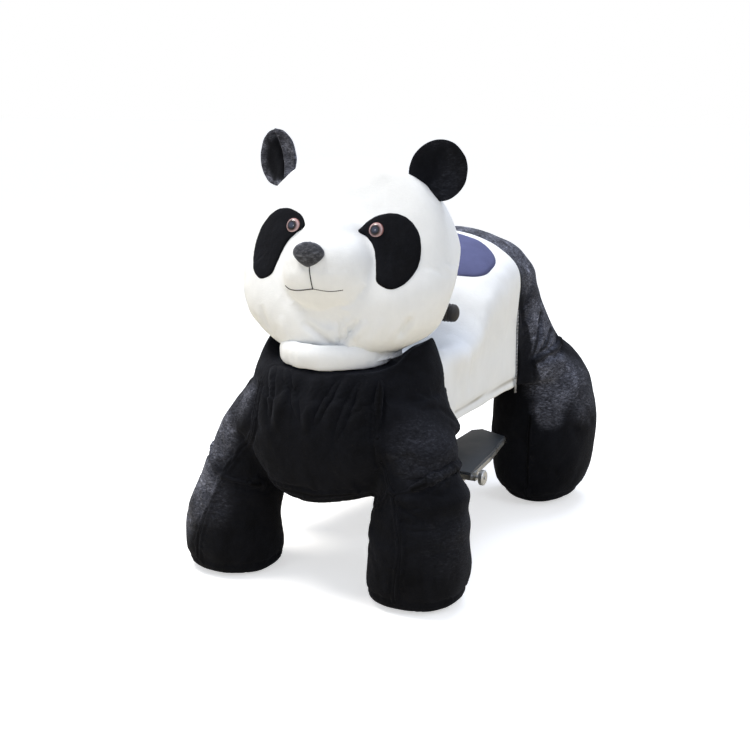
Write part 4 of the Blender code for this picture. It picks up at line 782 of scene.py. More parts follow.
# %% Rear body
REAR_AXLE_Y = 0.34
TORSO_REAR = 0.140
RUMP_ROWS = (
    # height, middle, half width, reach to the front, reach to the rear
    (0.300, 0.310, 0.268, 0.215, 0.140), (0.330, 0.310, 0.261, 0.232, 0.1445),
    (0.370, 0.300, 0.240, 0.250, 0.152), (0.420, 0.280, 0.216, 0.300, 0.162),
    (0.462, 0.250, 0.205, 0.400, 0.181), (0.510, 0.200, 0.203, 0.500, 0.210),
    (0.543, 0.170, 0.203, 0.500, 0.220), (0.568, 0.140, 0.192, 0.400, 0.230),
    (0.589, 0.140, 0.170, 0.300, 0.212), (0.605, 0.140, 0.139, 0.300, 0.186),
    (0.617, 0.140, 0.104, 0.300, 0.155), (0.626, 0.140, 0.066, 0.300, 0.120),
    (0.632, 0.140, 0.020, 0.300, 0.060))
REAR_LEG_ROWS = (
    # height, X, half width, reach to the front, reach to the rear
    (0.0045, 0.203, 0.056, 0.086, 0.056), (0.010, 0.202, 0.069, 0.101, 0.066),
    (0.020, 0.200, 0.083, 0.117, 0.079), (0.036, 0.198, 0.096, 0.130, 0.090),
    (0.060, 0.198, 0.107, 0.134, 0.101), (0.108, 0.200, 0.115, 0.135, 0.110),
    (0.193, 0.202, 0.117, 0.133, 0.115), (0.250, 0.197, 0.112, 0.128, 0.116),
    (0.300, 0.190, 0.100, 0.118, 0.114), (0.345, 0.172, 0.080, 0.100, 0.105),
    (0.380, 0.155, 0.050, 0.070, 0.075))


def rump_solid():
    table = [(z, 0.0, middle, half, front, rear, 2.4, 2.4) for z, middle, half, front, rear in RUMP_ROWS]
    rings = []
    for r in stack(table, 0.006, 120):
        r[:, 1] = np.maximum(r[:, 1], TORSO_REAR + 0.001)
        rings.append(r)
    return skin(rings)


def rear_leg_solid(side):
    table = [(z, side * x, REAR_AXLE_Y, w, front, rear, 2.2, 2.2) for z, x, w, front, rear in REAR_LEG_ROWS]
    return skin(stack(table, 0.006, 96))


rear_body = fused("rear_body_plush", [rump_solid(), rear_leg_solid(1), rear_leg_solid(-1)], VOXEL, 10)
THIGH_DART = mm((226, 180, 348), (241, 233, 360), (244, 300, 364), (225, 350, 372))
THIGH_SEAM = mm((226, 180, 348), (212, 212, 277), (213, 212, 210), (211, 211, 139), (210, 213, 68),
                (203, 225, 15))
TAIL_SEAM = mm((0, 325, 560), (0, 405, 500), (0, 446, 420), (0, 456, 340))
REAR_FOLDS = [
    (mm((226, 180, 352), (227, 200, 384), (220, 240, 425), (210, 262, 450)), -0.0095, 0.0075),
    (mm((228, 186, 352), (238, 225, 374), (236, 265, 392), (226, 300, 408)), -0.0085, 0.0075),
    (mm((206, 160, 500), (214, 170, 440), (224, 172, 380)), -0.0035, 0.009),
    (mm((190, 170, 590), (203, 230, 555), (205, 290, 510)), -0.0025, 0.012),
    (mm((300, 260, 280), (322, 300, 230), (325, 340, 170)), -0.0030, 0.012),
    (mm((262, 225, 250), (300, 250, 200), (318, 290, 140)), -0.0025, 0.012),
    (mm((60, 420, 470), (110, 400, 430), (170, 380, 400)), -0.0030, 0.012),
    (mm((130, 440, 330), (150, 450, 260), (190, 458, 200)), -0.0030, 0.012),
]
REAR_SEAMS = both_sides([(THIGH_DART, 0.0090, 0.0085), (THIGH_SEAM, 0.0060, 0.0050)])
REAR_SEAMS.append((TAIL_SEAM, 0.0040, 0.005))
REAR_LINES = [line for line, _, _ in REAR_SEAMS]
ALL_REAR_FOLDS = both_sides(REAR_FOLDS)
start = points_of(rear_body)
fixed = np.maximum(1 - ease(start[:, 2], 0.010, 0.030), 1 - ease(start[:, 1], 0.146, 0.170))
fill_out(rear_body, held_share(rear_body, REAR_LINES, fixed), 0.03, 0.004, 0.006)
# This cover is open under the feet, along the zip and between the legs.
opened(rear_body, lambda c, n: (c.z < UNDERSIDE and n.z < -0.6) or (c.y < 0.146 and n.y < -0.6)
       or (n.z < -0.7 and 0.285 < c.z < 0.305 and abs(c.x) < 0.09))
lined(rear_body, WALL)
refined(rear_body, REAR_LINES + [line for line, _, _ in ALL_REAR_FOLDS])
press(rear_body, REAR_SEAMS, ALL_REAR_FOLDS, [(0.070, 0.0025, 5), (0.028, 0.0010, 6)])
# Crushed pile on thigh and rump, where the material paints pale glints: painted highlights, kept behind the
# thigh seam.
CRUSH_GLINT_REAR = [(0.22, 0.24, 0.41, 0.10, 1.0), (0.27, 0.24, 0.31, 0.10, 0.90),
                (0.16, 0.22, 0.58, 0.12, 0.9), (0.255, 0.215, 0.235, 0.055, 0.7),
                (0.20, 0.27, 0.48, 0.07, 0.4), (0.0, 0.25, 0.61, 0.18, 0.8),
                (-0.25, 0.25, 0.35, 0.13, 0.8), (0.31, 0.30, 0.28, 0.10, 0.35)]
CRUSH_GLINT_EDGE = THIGH_SEAM + mm((226, 186, 400), (210, 176, 470), (200, 160, 550))
rear_crush_glint = clouds(points_of(rear_body), CRUSH_GLINT_REAR, 7)
behind_seam = beyond(points_of(rear_body), CRUSH_GLINT_EDGE, 1, 1, 0.004)
# No painted glint goes into the bottoms of the folds, so they stay dark between crushed ridges: painted
# shade in the folds.
tucks = [THIGH_DART, REAR_FOLDS[0][0], REAR_FOLDS[1][0]]
all_tucks = tucks + [mirrored(line) for line in tucks]
painted_fold_shade = np.exp(-(line_distance(rear_body, all_tucks) / 0.0065) ** 2)
stored(rear_body, "crush_glint", rear_crush_glint * (0.15 + 0.85 * behind_seam) * (1 - 0.9 * painted_fold_shade))
finished(rear_body, "chassis", "black_plush", black_plush, "rump_cover", "rear_leg_cover_left",
         "rear_leg_cover_right")

# %% [markdown]
# ## The white body
#
# A saddle-shaped sleeve of white plush between chest and rump, open underneath, with a hem band.

# %% Torso
TOP_LINE = ((-0.240, 0.470), (-0.130, 0.478), (-0.095, 0.489), (-0.060, 0.521), (-0.030, 0.560),
            (0.010, 0.599), (0.050, 0.621), (0.095, 0.634), (0.140, 0.639))
SHOULDER = ((-0.160, 0.45), (-0.100, 0.80), (-0.050, 1.05), (0.020, 1.15), (0.090, 1.05), (0.140, 1.00))
NECK_HOLLOW = ((-0.235, 0.056), (-0.160, 0.044), (-0.130, 0.020), (-0.095, 0.0), (0.14, 0.0))
ARCH = ((1.00, 0.200), (1.02, 0.150), (1.035, 0.115), (1.03, 0.094), (1.00, 0.075), (0.945, 0.060),
        (0.86, 0.046), (0.76, 0.034), (0.64, 0.023), (0.50, 0.0135), (0.34, 0.006), (0.17, 0.001))
HEM_Z = 0.300
HEM_BAND = 0.020
BODY_HALF_WIDTH = 0.200


def torso_section(y, count=150):
    """Points over the body from the left hem to the right hem at a station along its length."""
    top = float(eased(TOP_LINE, np.array([y]))[0, 0])
    share = min(float(eased(SHOULDER, np.array([y]))[0, 0]), (top - HEM_Z - 0.035) / 0.28)
    hollow = float(straight(NECK_HOLLOW, y))
    rising = np.linspace(HEM_Z, top - 0.28 * share, 5)[:-1]
    half = [(BODY_HALF_WIDTH, z) for z in rising if z < top - 0.27 * share]
    for across, drop in ARCH:
        sunk = hollow * (1 - float(ease(np.array(BODY_HALF_WIDTH * across), 0.11, 0.195)))
        half.append((BODY_HALF_WIDTH * across, top - drop * share - sunk))
    line = np.array(half + [(-x, z) for x, z in reversed(half)])
    gaps = np.concatenate([[0], np.cumsum(np.linalg.norm(np.diff(line, axis=0), axis=1))])
    return eased(np.column_stack([gaps, line]), np.linspace(0, gaps[-1], count))


def torso_sheet():
    rows = []
    for i, y in enumerate(np.linspace(-0.238, TORSO_REAR - 0.0005, 90)):
        row = []
        for x, z in torso_section(y):
            under_chest = 0.032 * (1 - float(ease(np.array(z), 0.40, 0.46)))
            limit = front_cut(z) - under_chest + 0.0009 * i
            fore = 1 - float(ease(np.array(y), -0.235, -0.165))
            narrow = 1 - 0.13 * float(ease(np.array(z), 0.37, 0.47)) * fore
            row.append((x * narrow, max(y, limit), z))
        rows.append(row[::-1])
    return skin(rows, closed=False, looped=False)


def hem(x, y):
    """The stitched line that holds the hem band, along one side."""
    return [(x, along, HEM_Z + HEM_BAND) for along in y]


torso = smoothed(object_of("torso_plush", torso_sheet()), 6)
lined(torso, WALL)
SIDE_FOLDS = [
    (mm((185, -120, 470), (197, -112, 410), (201, -108, 340)), -0.0045, 0.010),
    (mm((180, -150, 455), (196, -146, 390), (201, -150, 330)), 0.0040, 0.012),
    (mm((197, -60, 500), (203, -52, 430), (203, -50, 350)), -0.0028, 0.014),
    (mm((203, 20, 480), (204, 30, 410), (203, 25, 340)), 0.0030, 0.016),
    (mm((204, 90, 500), (205, 80, 420), (203, 85, 350)), -0.0026, 0.014),
    (mm((178, -30, 520), (198, -30, 450), (202, -25, 380)), -0.0022, 0.010),
    (mm((196, 60, 540), (205, 55, 470), (203, 60, 400)), 0.0022, 0.012),
]
HEM_LINES = [hem(0.2, (-0.19, -0.08, 0.03, 0.137)), hem(-0.2, (-0.19, -0.08, 0.03, 0.137))]
# The hem stitching is pressed in and the material darkens it: painted shade along the hem line.
press(torso, [(line, 0.0028, 0.006) for line in HEM_LINES], both_sides(SIDE_FOLDS),
      [(0.070, 0.0022, 9), (0.030, 0.0008, 10)])
finished(torso, "chassis", "white_plush", white_plush, "torso_cover")

# %% [markdown]
# ## The head
#
# One big white ball of plush with a soft muzzle, low cheeks and gathers under the chin.

# %% Head
HEAD_ROWS = (
    # height, half width, front, rear
    (0.4310, 0.010, -0.272, -0.252), (0.4340, 0.078, -0.350, -0.238), (0.4480, 0.112, -0.365, -0.227),
    (0.4700, 0.160, -0.378, -0.213), (0.5000, 0.197, -0.380, -0.203), (0.5400, 0.218, -0.378, -0.203),
    (0.5650, 0.223, -0.373, -0.190), (0.5900, 0.2245, -0.364, -0.140), (0.6200, 0.222, -0.347, -0.105),
    (0.6600, 0.213, -0.325, -0.090), (0.7000, 0.197, -0.302, -0.095), (0.7350, 0.174, -0.286, -0.112),
    (0.7650, 0.144, -0.272, -0.135), (0.7900, 0.102, -0.258, -0.165), (0.8030, 0.060, -0.246, -0.195),
    (0.8075, 0.012, -0.230, -0.210))
MUZZLE_CENTRE = (0.006, -0.330, 0.603)
MUZZLE_RADII = (0.097, 0.078, 0.087)
NOSE_BRIDGE = ((0.004, -0.316, 0.650), (0.066, 0.060, 0.062))


def head_solid():
    levels = []
    for z, half, front, rear in HEAD_ROWS:
        middle = -0.262 + 0.017 * float(ease(np.array(z), 0.54, 0.62))
        levels.append((z, 0.0, middle, half, middle - front, rear - middle, 2.2, 2.2))
    return skin(stack(levels, 0.0045, 140))


def ball(centre, radii, count=48):
    """A smooth egg of three radii."""
    made = bmesh.new()
    bmesh.ops.create_uvsphere(made, u_segments=count, v_segments=count // 2, radius=1.0)
    bmesh.ops.scale(made, verts=made.verts, vec=radii)
    bmesh.ops.translate(made, verts=made.verts, vec=centre)
    return made


HEAD_PARTS = [head_solid(), ball(MUZZLE_CENTRE, MUZZLE_RADII), ball(*NOSE_BRIDGE)]
head = fused("head_plush", HEAD_PARTS, 0.005, 14)
CHIN_TUCK = mm((40, -392, 522), (46, -382, 505), (42, -378, 475), (36, -368, 452))
HEAD_FOLDS = [
    (mm((43, -374, 468), (62, -380, 492), (88, -377, 524)), -0.0125, 0.0070),
    (mm((60, -374, 470), (80, -378, 492), (104, -372, 524)), 0.0055, 0.0080),
    (mm((34, -374, 470), (6, -382, 492), (-30, -388, 514)), -0.0075, 0.008),
    (mm((150, -334, 486), (166, -340, 508), (178, -336, 530)), -0.0085, 0.007),
    (mm((128, -345, 478), (146, -350, 500), (158, -346, 524)), 0.0025, 0.008),
    (mm((-105, -350, 470), (-120, -356, 500), (-130, -356, 535)), -0.0045, 0.009),
    (mm((-60, -370, 468), (-70, -378, 495), (-74, -382, 522)), 0.0025, 0.010),
    (mm((100, -362, 470), (118, -366, 500), (130, -362, 530)), 0.0030, 0.010),
    (mm((-84, -368, 560), (-56, -378, 544), (-18, -384, 526), (17, -384, 516), (51, -380, 521),
        (77, -374, 541), (92, -366, 562)), -0.0050, 0.0130),
    (CHIN_TUCK, -0.0090, 0.0065),
]
start = points_of(head)
fixed = np.maximum(ease(start[:, 2], 0.60, 0.66), 1 - ease(start[:, 2], 0.436, 0.455))
fill_out(head, held_share(head, [CHIN_TUCK], fixed), 0.012, 0.004, 0.002)
refined(head, [line for line, _, _ in HEAD_FOLDS])
press(head, folds=HEAD_FOLDS, lumps=[(0.080, 0.0026, 12), (0.032, 0.0010, 13)])
finished(head, "steering", "white_plush", white_plush, "head_cover")

# %% [markdown]
# ## Sewn-on patches
#
# Each eye patch and the seat patch is a cut piece of plush sewn flat on the cover, thickest just
# inside its edge. It is laid on by casting rays at the cover from outside, so it follows every bulge.


# %% Patches
def closed_line(points, count):
    """A round closed outline through points, as many evenly placed points as asked."""
    p = np.array(points, float)
    looped = np.vstack([p[-2:], p, p[:3]])
    at = np.arange(len(looped), dtype=float) - 2
    fine = eased(np.column_stack([at, looped]), np.linspace(0, len(p), count * 6, endpoint=False))
    fine = np.vstack([fine, fine[:1]])
    gaps = np.concatenate([[0], np.cumsum(np.linalg.norm(np.diff(fine, axis=0), axis=1))])
    places = np.linspace(0, gaps[-1], count, endpoint=False)
    return np.column_stack([np.interp(places, gaps, fine[:, k]) for k in range(fine.shape[1])])


def patch(name, outline, under, way, thickness, rings=22):
    """A puffed patch over a cover. The outline is flat, and way says from where it is laid on."""
    centre = outline.mean(axis=0)
    tree = tree_of(under)
    tops, bottoms = [], []
    for k in range(rings + 1):
        share = 1 - (k / rings)
        puff = thickness * (1 - share ** 10) ** 0.5
        top, bottom = [], []
        for u, v in centre + (outline - centre) * max(share, 0.01):
            start = Vector((u, -1.0, v)) if way == "front" else Vector((u, v, 2.0))
            toward = Vector((0, 1, 0)) if way == "front" else Vector((0, 0, -1))
            at, normal, _, _ = tree.ray_cast(start, toward)
            top.append(at + normal * (0.0004 + puff))
            bottom.append(at - normal * 0.0006)
        tops.append(top)
        bottoms.append(bottom)
    return object_of(name, skin([*reversed(bottoms), *tops]))


EYE_PATCH = ((0.058, 0.684), (0.072, 0.700), (0.093, 0.709), (0.114, 0.711), (0.134, 0.706), (0.152, 0.693),
             (0.166, 0.672), (0.173, 0.645), (0.172, 0.615), (0.160, 0.592), (0.142, 0.581), (0.124, 0.583),
             (0.109, 0.593), (0.103, 0.611), (0.097, 0.632), (0.088, 0.652), (0.074, 0.667), (0.062, 0.675))
EYE_PATCH_SHIFT = 0.003
SIDES = (("left", 1), ("right", -1))
for side, sign in SIDES:
    outline = closed_line([(sign * (x + EYE_PATCH_SHIFT), z) for x, z in EYE_PATCH], 120)
    eye_patch = patch("eye_patch_" + side + "_plush", outline, head, "front", 0.0032)
    press(eye_patch, lumps=[(0.012, 0.0006, 14)])
    finished(eye_patch, "steering", "black_plush", black_plush, "eye_patch_" + side)

SEAT_PATCH_CENTRE_Y = 0.048
SEAT_PATCH_HALF = (0.177, 0.068)


def bent(value, power):
    """A power of a sine or cosine that keeps its sign."""
    return math.copysign(abs(value) ** power, value)


angles = np.arange(40) * math.tau / 40
oval = [(SEAT_PATCH_HALF[0] * bent(math.cos(a), 0.5),
         SEAT_PATCH_CENTRE_Y + SEAT_PATCH_HALF[1] * bent(math.sin(a), 0.7)) for a in angles]
seat_patch = patch("seat_patch_plush", closed_line(oval, 160), torso, "above", 0.0030, 26)
finished(seat_patch, "chassis", "grey_plush", grey_plush, "seat_patch")

# %% [markdown]
# ## Eyes, nose and mouth
#
# The eyes are clear domes over a printed disc: a pupil with a dark edge in a rosy ring, where the
# pupil's slate blue, lightest in the middle, is a painted reflection. The nose is an oval of black
# velvet, broad above and pointed below. The mouth is sewn with black thread.


# %% Eyes
def eye_material():
    """Clear acrylic over a printed disc with a painted reflection in the pupil: the colour follows the
    distance from the middle of the eye.
    """
    made, tree, shader, _ = new_material("domed_acrylic_eye")
    out = node(tree, "ShaderNodeAttribute", attribute_name="from_middle").outputs["Fac"]
    # The pupil's slate blue, lightest in the middle, is a painted reflection; its dark edge and the rosy
    # ring are the print.
    stops = ((0.00, "39415a"), (0.30, "2a3146"), (0.50, "0b0d14"), (0.60, "3c2c2c"),
             (0.70, "8c7276"), (0.84, "bda0a2"), (0.93, "986a68"), (1.00, "2a1a18"))
    print_and_painted_reflection = ramp(tree, out, [(at, linear(code)) for at, code in stops])
    fill(tree, shader, {"Base Color": print_and_painted_reflection, "Roughness": 0.6, "Specular IOR Level": 0.0,
                        "Coat Weight": 0.9, "Coat Roughness": 0.02, "Coat IOR": 1.49})
    return made


eye_finish = eye_material()
EYE_RADIUS = 0.0150
EYE_DOME = 0.0095
EYE_SHIFT = 0.003
EYE_LIFT = 0.0015
EYE_SINK = 0.006
EYE_POINTS = 48


def middle_of(name):
    """Middle of a frame piece's box."""
    low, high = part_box(name)
    return (np.array(low) + np.array(high)) / 2


def facing(obj, x, z):
    """Where a level ray from the front meets a piece, and which way its skin faces there."""
    at, normal, _, _ = tree_of(obj).ray_cast(Vector((x, -1.0, z)), Vector((0, 1, 0)))
    return at, normal


for side, sign in SIDES:
    x, _, z = middle_of("eye_" + side)
    at, normal = facing(head, x + EYE_SHIFT, z - 0.001)
    out_way = (normal + Vector((0, -1.2, 0.1))).normalized()
    turn = out_way.to_track_quat("Z", "Y").to_matrix()
    rows = []
    rings = 28
    for k in range(rings + 1):
        angle = math.pi * 0.5 * k / rings
        radius, height = EYE_RADIUS * math.cos(angle), EYE_DOME * math.sin(angle)
        radius = max(radius, 1e-5)
        turns = [math.tau * i / EYE_POINTS for i in range(EYE_POINTS)]
        circle = [(radius * math.cos(t), radius * math.sin(t), height) for t in turns]
        rows.append([at + turn @ Vector(q) + out_way * EYE_LIFT for q in circle])
    base = [[p - out_way * EYE_SINK for p in rows[0]]]
    eye = object_of("eye_" + side + "_dome", skin(base + rows))
    co = points_of(eye) - np.array(at + out_way * EYE_LIFT)
    flat = co - np.outer(co @ np.array(out_way), np.array(out_way))
    spread = eye.data.attributes.new("from_middle", "FLOAT", "POINT")
    spread.data.foreach_set("value", (np.linalg.norm(flat, axis=1) / EYE_RADIUS).astype(np.float32))
    finished(eye, "steering", "eye_resin", eye_finish, "eye_" + side)

# %% Nose
at, normal = facing(head, -0.001, 0.643)
NOSE_RADII = (0.0315, 0.017, 0.0215)
nose = object_of("nose_velvet", ball((0, 0, 0), NOSE_RADII, 64))
co = points_of(nose)
across, _, up = (co / np.array(NOSE_RADII)).T
co[:, 0] *= np.where(up < 0, 1 - 0.22 * np.abs(up) ** 1.5, 1.0)
co[:, 2] += 0.0035 * (1 - np.abs(across)) * (up < 0) * up
co += np.array(at) + np.array((0, -0.003, 0))
put_points(nose, co)
press(nose, lumps=[(0.004, 0.0005, 15)])
nose_velvet = plush("black_knit_velvet", "1c1d21", "b4b8c6", "050505", 1.5, 0.5, "aeb4c4", 0.8)
# A little of the crushed-pile glint all over the nose: painted pale speckle highlights.
stored(nose, "crush_glint", np.full(len(co), 0.30))
finished(nose, "steering", "black_plush", nose_velvet, "nose")

# %% [markdown]
# ## Thread and zip teeth
#
# Sewing thread and zip teeth are the same small bead set again and again along a path, so one node
# tree makes both. Its inputs are the pitch of the beads and their length, width and height.


# %% Beads along a path
def bead_tree(name):
    """Sets a bead of a given size at every pitch along an edge path."""
    tree = bpy.data.node_groups.new(name, "GeometryNodeTree")
    face = tree.interface
    face.new_socket("Geometry", in_out="INPUT", socket_type="NodeSocketGeometry")
    for words in ("Pitch", "Width", "Height", "Length"):
        face.new_socket(words, in_out="INPUT", socket_type="NodeSocketFloat")
    face.new_socket("Finish", in_out="INPUT", socket_type="NodeSocketMaterial")
    face.new_socket("Geometry", in_out="OUTPUT", socket_type="NodeSocketGeometry")
    given = tree.nodes.new("NodeGroupInput").outputs
    curve = node(tree, "GeometryNodeMeshToCurve", {"Mesh": given["Geometry"]}).outputs["Curve"]
    spots = node(tree, "GeometryNodeCurveToPoints", {"Curve": curve, "Length": given["Pitch"]},
                 mode="LENGTH").outputs
    bead = node(tree, "GeometryNodeMeshUVSphere", {"Segments": 8, "Rings": 6, "Radius": 0.5}).outputs["Mesh"]
    size = node(tree, "ShaderNodeCombineXYZ", {"X": given["Width"], "Y": given["Height"],
                                               "Z": given["Length"]}).outputs[0]
    placed = node(tree, "GeometryNodeInstanceOnPoints", {"Points": spots["Points"], "Instance": bead,
                                                         "Rotation": spots["Rotation"], "Scale": size})
    real = node(tree, "GeometryNodeRealizeInstances", {"Geometry": placed.outputs[0]}).outputs[0]
    dressed = node(tree, "GeometryNodeSetMaterial", {"Geometry": real,
                                                     "Material": given["Finish"]}).outputs[0]
    out = tree.nodes.new("NodeGroupOutput")
    tree.links.new(dressed, out.inputs["Geometry"])
    return tree


beads = bead_tree("beads_along_a_path")


def beaded(name, paths, finish, body, slot_name, **sizes):
    """A piece of beads along one or more paths."""
    made = bmesh.new()
    for path in paths:
        corners = [made.verts.new(p) for p in path]
        for a, b in zip(corners, corners[1:]):
            made.edges.new((a, b))
    result = object_of(name, made)
    run = result.modifiers.new("beads", "NODES")
    run.node_group = beads
    for item in beads.interface.items_tree:
        if item.in_out == "INPUT" and item.name in sizes:
            run[item.identifier] = sizes[item.name]
        if item.in_out == "INPUT" and item.name == "Finish":
            run[item.identifier] = finish
    baked(result)
    result.data.shade_smooth()
    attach(result, body)
    print(name, len(result.data.polygons), "faces")
    return result


thread, thread_tree, thread_shader, thread_place = new_material("black_polyester_thread")
fill(thread_tree, thread_shader, {"Base Color": linear("1b1c20"), "Roughness": 0.5})
twist = node(thread_tree, "ShaderNodeTexWave", {"Vector": thread_place, "Scale": per_mm(1.2)},
             wave_type="BANDS", bands_direction="DIAGONAL")
bumped(thread_tree, thread_shader, twist.outputs["Fac"], 0.4, 0.0002)

MOUTH_DROP = ((0.001, 0.626), (0.004, 0.612), (0.006, 0.600), (0.009, 0.580))
SMILE_RIGHT = ((-0.067, 0.5755), (-0.046, 0.5725), (-0.025, 0.5735), (0.009, 0.5795))
SMILE_LEFT = ((0.009, 0.5795), (0.036, 0.5765), (0.050, 0.5770), (0.062, 0.5790))


def on_face(points, lift=0.0002):
    """A line of (x, z) points laid on the face."""
    laid = []
    for x, z in smooth_line(points, 6):
        at, normal = facing(head, x, z)
        laid.append(at + normal * lift)
    return laid


beaded("mouth_thread", [on_face(MOUTH_DROP), on_face(SMILE_RIGHT)], thread, "steering", "black_plush",
       Pitch=0.0026, Width=0.0026, Height=0.0022, Length=0.0044)
beaded("mouth_thread_fine", [on_face(SMILE_LEFT)], thread, "steering", "black_plush",
       Pitch=0.0036, Width=0.0016, Height=0.0016, Length=0.0040)

# %% [markdown]
# ## Ears and collar
#
# The ears are cupped discs of black plush with a fold down the middle. The collar is a soft white band
# between head and chest that turns with the head.


# %% Ears
def ear(side, sign, width, height, lift, crease, crease_at):
    """A cupped plush ear in the plane of the frame's ear."""
    mesh_points = np.array([v.co for v in nodes["ear_" + side].data.vertices])
    middle = middle_of("ear_" + side) + np.array((0.004 if sign < 0 else -0.002, 0.0, lift))
    _, _, axes = np.linalg.svd(mesh_points - mesh_points.mean(axis=0), full_matrices=False)
    forward = axes[2] * (-1 if axes[2][1] > 0 else 1)
    up = np.array((sign * 0.42, 0.0, 1.0))
    up -= forward * (up @ forward)
    up /= np.linalg.norm(up)
    across = np.cross(up, forward)
    count, rings = 96, 22
    fronts, backs = [], []
    for k in range(rings + 1):
        share = max(math.sin(math.pi * 0.5 * (k / rings)), 0.01)
        turns = np.arange(count) * math.tau / count
        a = width * share * np.cos(turns)
        b = height * share * np.sin(turns) * (1 + 0.05 * np.sin(turns))
        folded = np.exp(-((a - crease_at) / 0.007) ** 2)
        folded -= 0.6 * np.exp(-((a - crease_at - 0.014) / 0.010) ** 2)
        deeper_below = 0.45 + 0.55 * ease(-b, -height * 0.6, height * 0.7)
        cup = -0.010 * (1 - share ** 2) - crease * folded * deeper_below
        half = 0.0085 * np.sqrt(max(1 - share ** 4, 0))
        curl = 0.006 * share ** 3
        for rows, offset in ((fronts, cup + half + curl), (backs, cup * 0.6 - half + curl)):
            rows.append(middle + np.outer(a, across) + np.outer(b, up) + np.outer(offset, forward))
    made = skin([*backs, *reversed(fronts)])
    result = object_of("ear_" + side + "_plush", made)
    press(result, lumps=[(0.018, 0.0012, 16)])
    co = points_of(result)
    # The rim and the lobe rolled past the crease get the crushed-pile glint, strong on the right ear and
    # faint on the left: painted highlights.
    rim = np.linalg.norm(co - middle, axis=1) / max(width, height)
    patchy = 0.55 + 0.6 * swell_noise(co, 0.016, 17)
    rolled = ease((co - middle) @ across, crease_at + 0.003, crease_at + 0.010)
    strength = 0.9 if side == "right" else 0.08
    stored(result, "crush_glint", np.maximum(ease(rim, 0.60, 0.98), rolled) * patchy * strength)
    finished(result, "steering", "black_plush", black_plush, "ear_" + side)


ear("left", 1, 0.0540, 0.0570, -0.010, 0.002, -0.010)
ear("right", -1, 0.0550, 0.0560, 0.006, 0.018, 0.006)

# %% Collar
COLLAR_MIDDLE = middle_of("collar")
COLLAR_RADIUS = 0.101
COLLAR_HALF_HEIGHT = 0.0225
COLLAR_THICK = 0.0075
around = np.arange(240) * math.tau / 240
gathers = 0.0006 * np.sin(around * 13 + 1.2 * np.sin(around * 3)) + 0.0003 * np.sin(around * 31)
rings = []
for k in range(28):
    turn = math.tau * k / 28
    radial = COLLAR_THICK * bent(math.cos(turn), 0.75)
    height = COLLAR_HALF_HEIGHT * bent(math.sin(turn), 0.85)
    leaning = 0.010 * max(0.0, height / COLLAR_HALF_HEIGHT) ** 2.0
    radius = COLLAR_RADIUS + radial - leaning + gathers * (1.0 if radial > 0 else 0.3)
    y = NECK_Y + radius * np.sin(around)
    z = COLLAR_MIDDLE[2] - 0.002 + height + NECK_SLOPE * (y - NECK_Y)
    rings.append(np.stack([radius * np.cos(around), y, z], 1))
rings.append(rings[0])
collar = object_of("collar_plush", skin(rings, closed=False))
closed_mesh = mesh_of(collar)
bmesh.ops.remove_doubles(closed_mesh, verts=closed_mesh.verts, dist=1e-6)
bmesh.ops.recalc_face_normals(closed_mesh, faces=closed_mesh.faces)
put_mesh(collar, closed_mesh)
press(collar, lumps=[(0.030, 0.0012, 18)])
finished(collar, "steering", "white_plush", white_plush, "collar")

# %% Tail
tail_middle = middle_of("tail") + np.array((0, -0.006, 0))
tail = fused("tail_plush", [ball(tail_middle, (0.034, 0.020, 0.036))], 0.003, 2)
press(tail, lumps=[(0.012, 0.0016, 19)])
finished(tail, "chassis", "white_plush", white_plush, "tail")

# %% [markdown]
# ## The zip, the grips and the hard parts
#
# A nylon-coil zip runs up the seam between body and rump on each side, so that the battery can be
# reached. The rubber grips are turned from a profile. Then every hard part from the frame model gets
# the finish of its real material.

# %% Zip teeth
zip_metal, zip_tree, zip_shader, zip_place = new_material("nickel_plated_zip_teeth")
zip_wear = ramp(zip_tree, grain(zip_tree, zip_place, 6, 3.0), ((0.3, grey(0.22)), (0.7, grey(0.42))))
fill(zip_tree, zip_shader, {"Base Color": linear("c9cbd0"), "Metallic": 1.0, "Roughness": zip_wear})
ZIP_X = 0.2035
ZIP_Y = TORSO_REAR - 0.0045
ZIP_HEIGHTS = np.linspace(0.326, 0.470, 25)
zip_paths = [[(sign * ZIP_X, ZIP_Y, z) for z in ZIP_HEIGHTS] for sign in (1, -1)]
beaded("zip_teeth", zip_paths, zip_metal, "chassis", "zip_metal",
       Pitch=0.0030, Width=0.0050, Height=0.0022, Length=0.0016)

# %% Grips
rubber, rubber_tree, rubber_shader, rubber_place = new_material("black_grip_rubber")
fill(rubber_tree, rubber_shader, {"Base Color": linear("16161a"), "Roughness": 0.62})
bumped(rubber_tree, rubber_shader, grain(rubber_tree, rubber_place, 0.9, 3.0), 0.35, 0.0003)


def grip(side, sign):
    """A ribbed rubber grip turned about the handlebar, closed at its outer end."""
    low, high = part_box("grip_" + side)
    middle = (np.array(low) + np.array(high)) / 2
    length = high[0] - low[0]
    full = (high[2] - low[2]) / 2
    rows = []
    for k in range(121):
        share = k / 120
        rib = 0.0009 * math.sin(share * math.tau * 13) * (1 if 0.14 < share < 0.86 else 0)
        flange = 0.92 if share > 0.05 else 1.0
        dome = math.sqrt(max(1 - max(0.0, (share - 0.90) / 0.10) ** 2, 0.0))
        radius = max((full * 0.88 * flange + rib) * dome, 0.0002)
        x = middle[0] + sign * (share - 0.5) * length
        rows.append([(x, middle[1] + radius * math.cos(t), middle[2] + radius * math.sin(t))
                     for t in np.arange(40) * math.tau / 40])
    made = skin(rows)
    bmesh.ops.recalc_face_normals(made, faces=made.faces)
    finished(object_of("grip_" + side + "_rubber", made), "steering", "black_rubber", rubber, "grip_" + side)


for side, sign in SIDES:
    grip(side, sign)


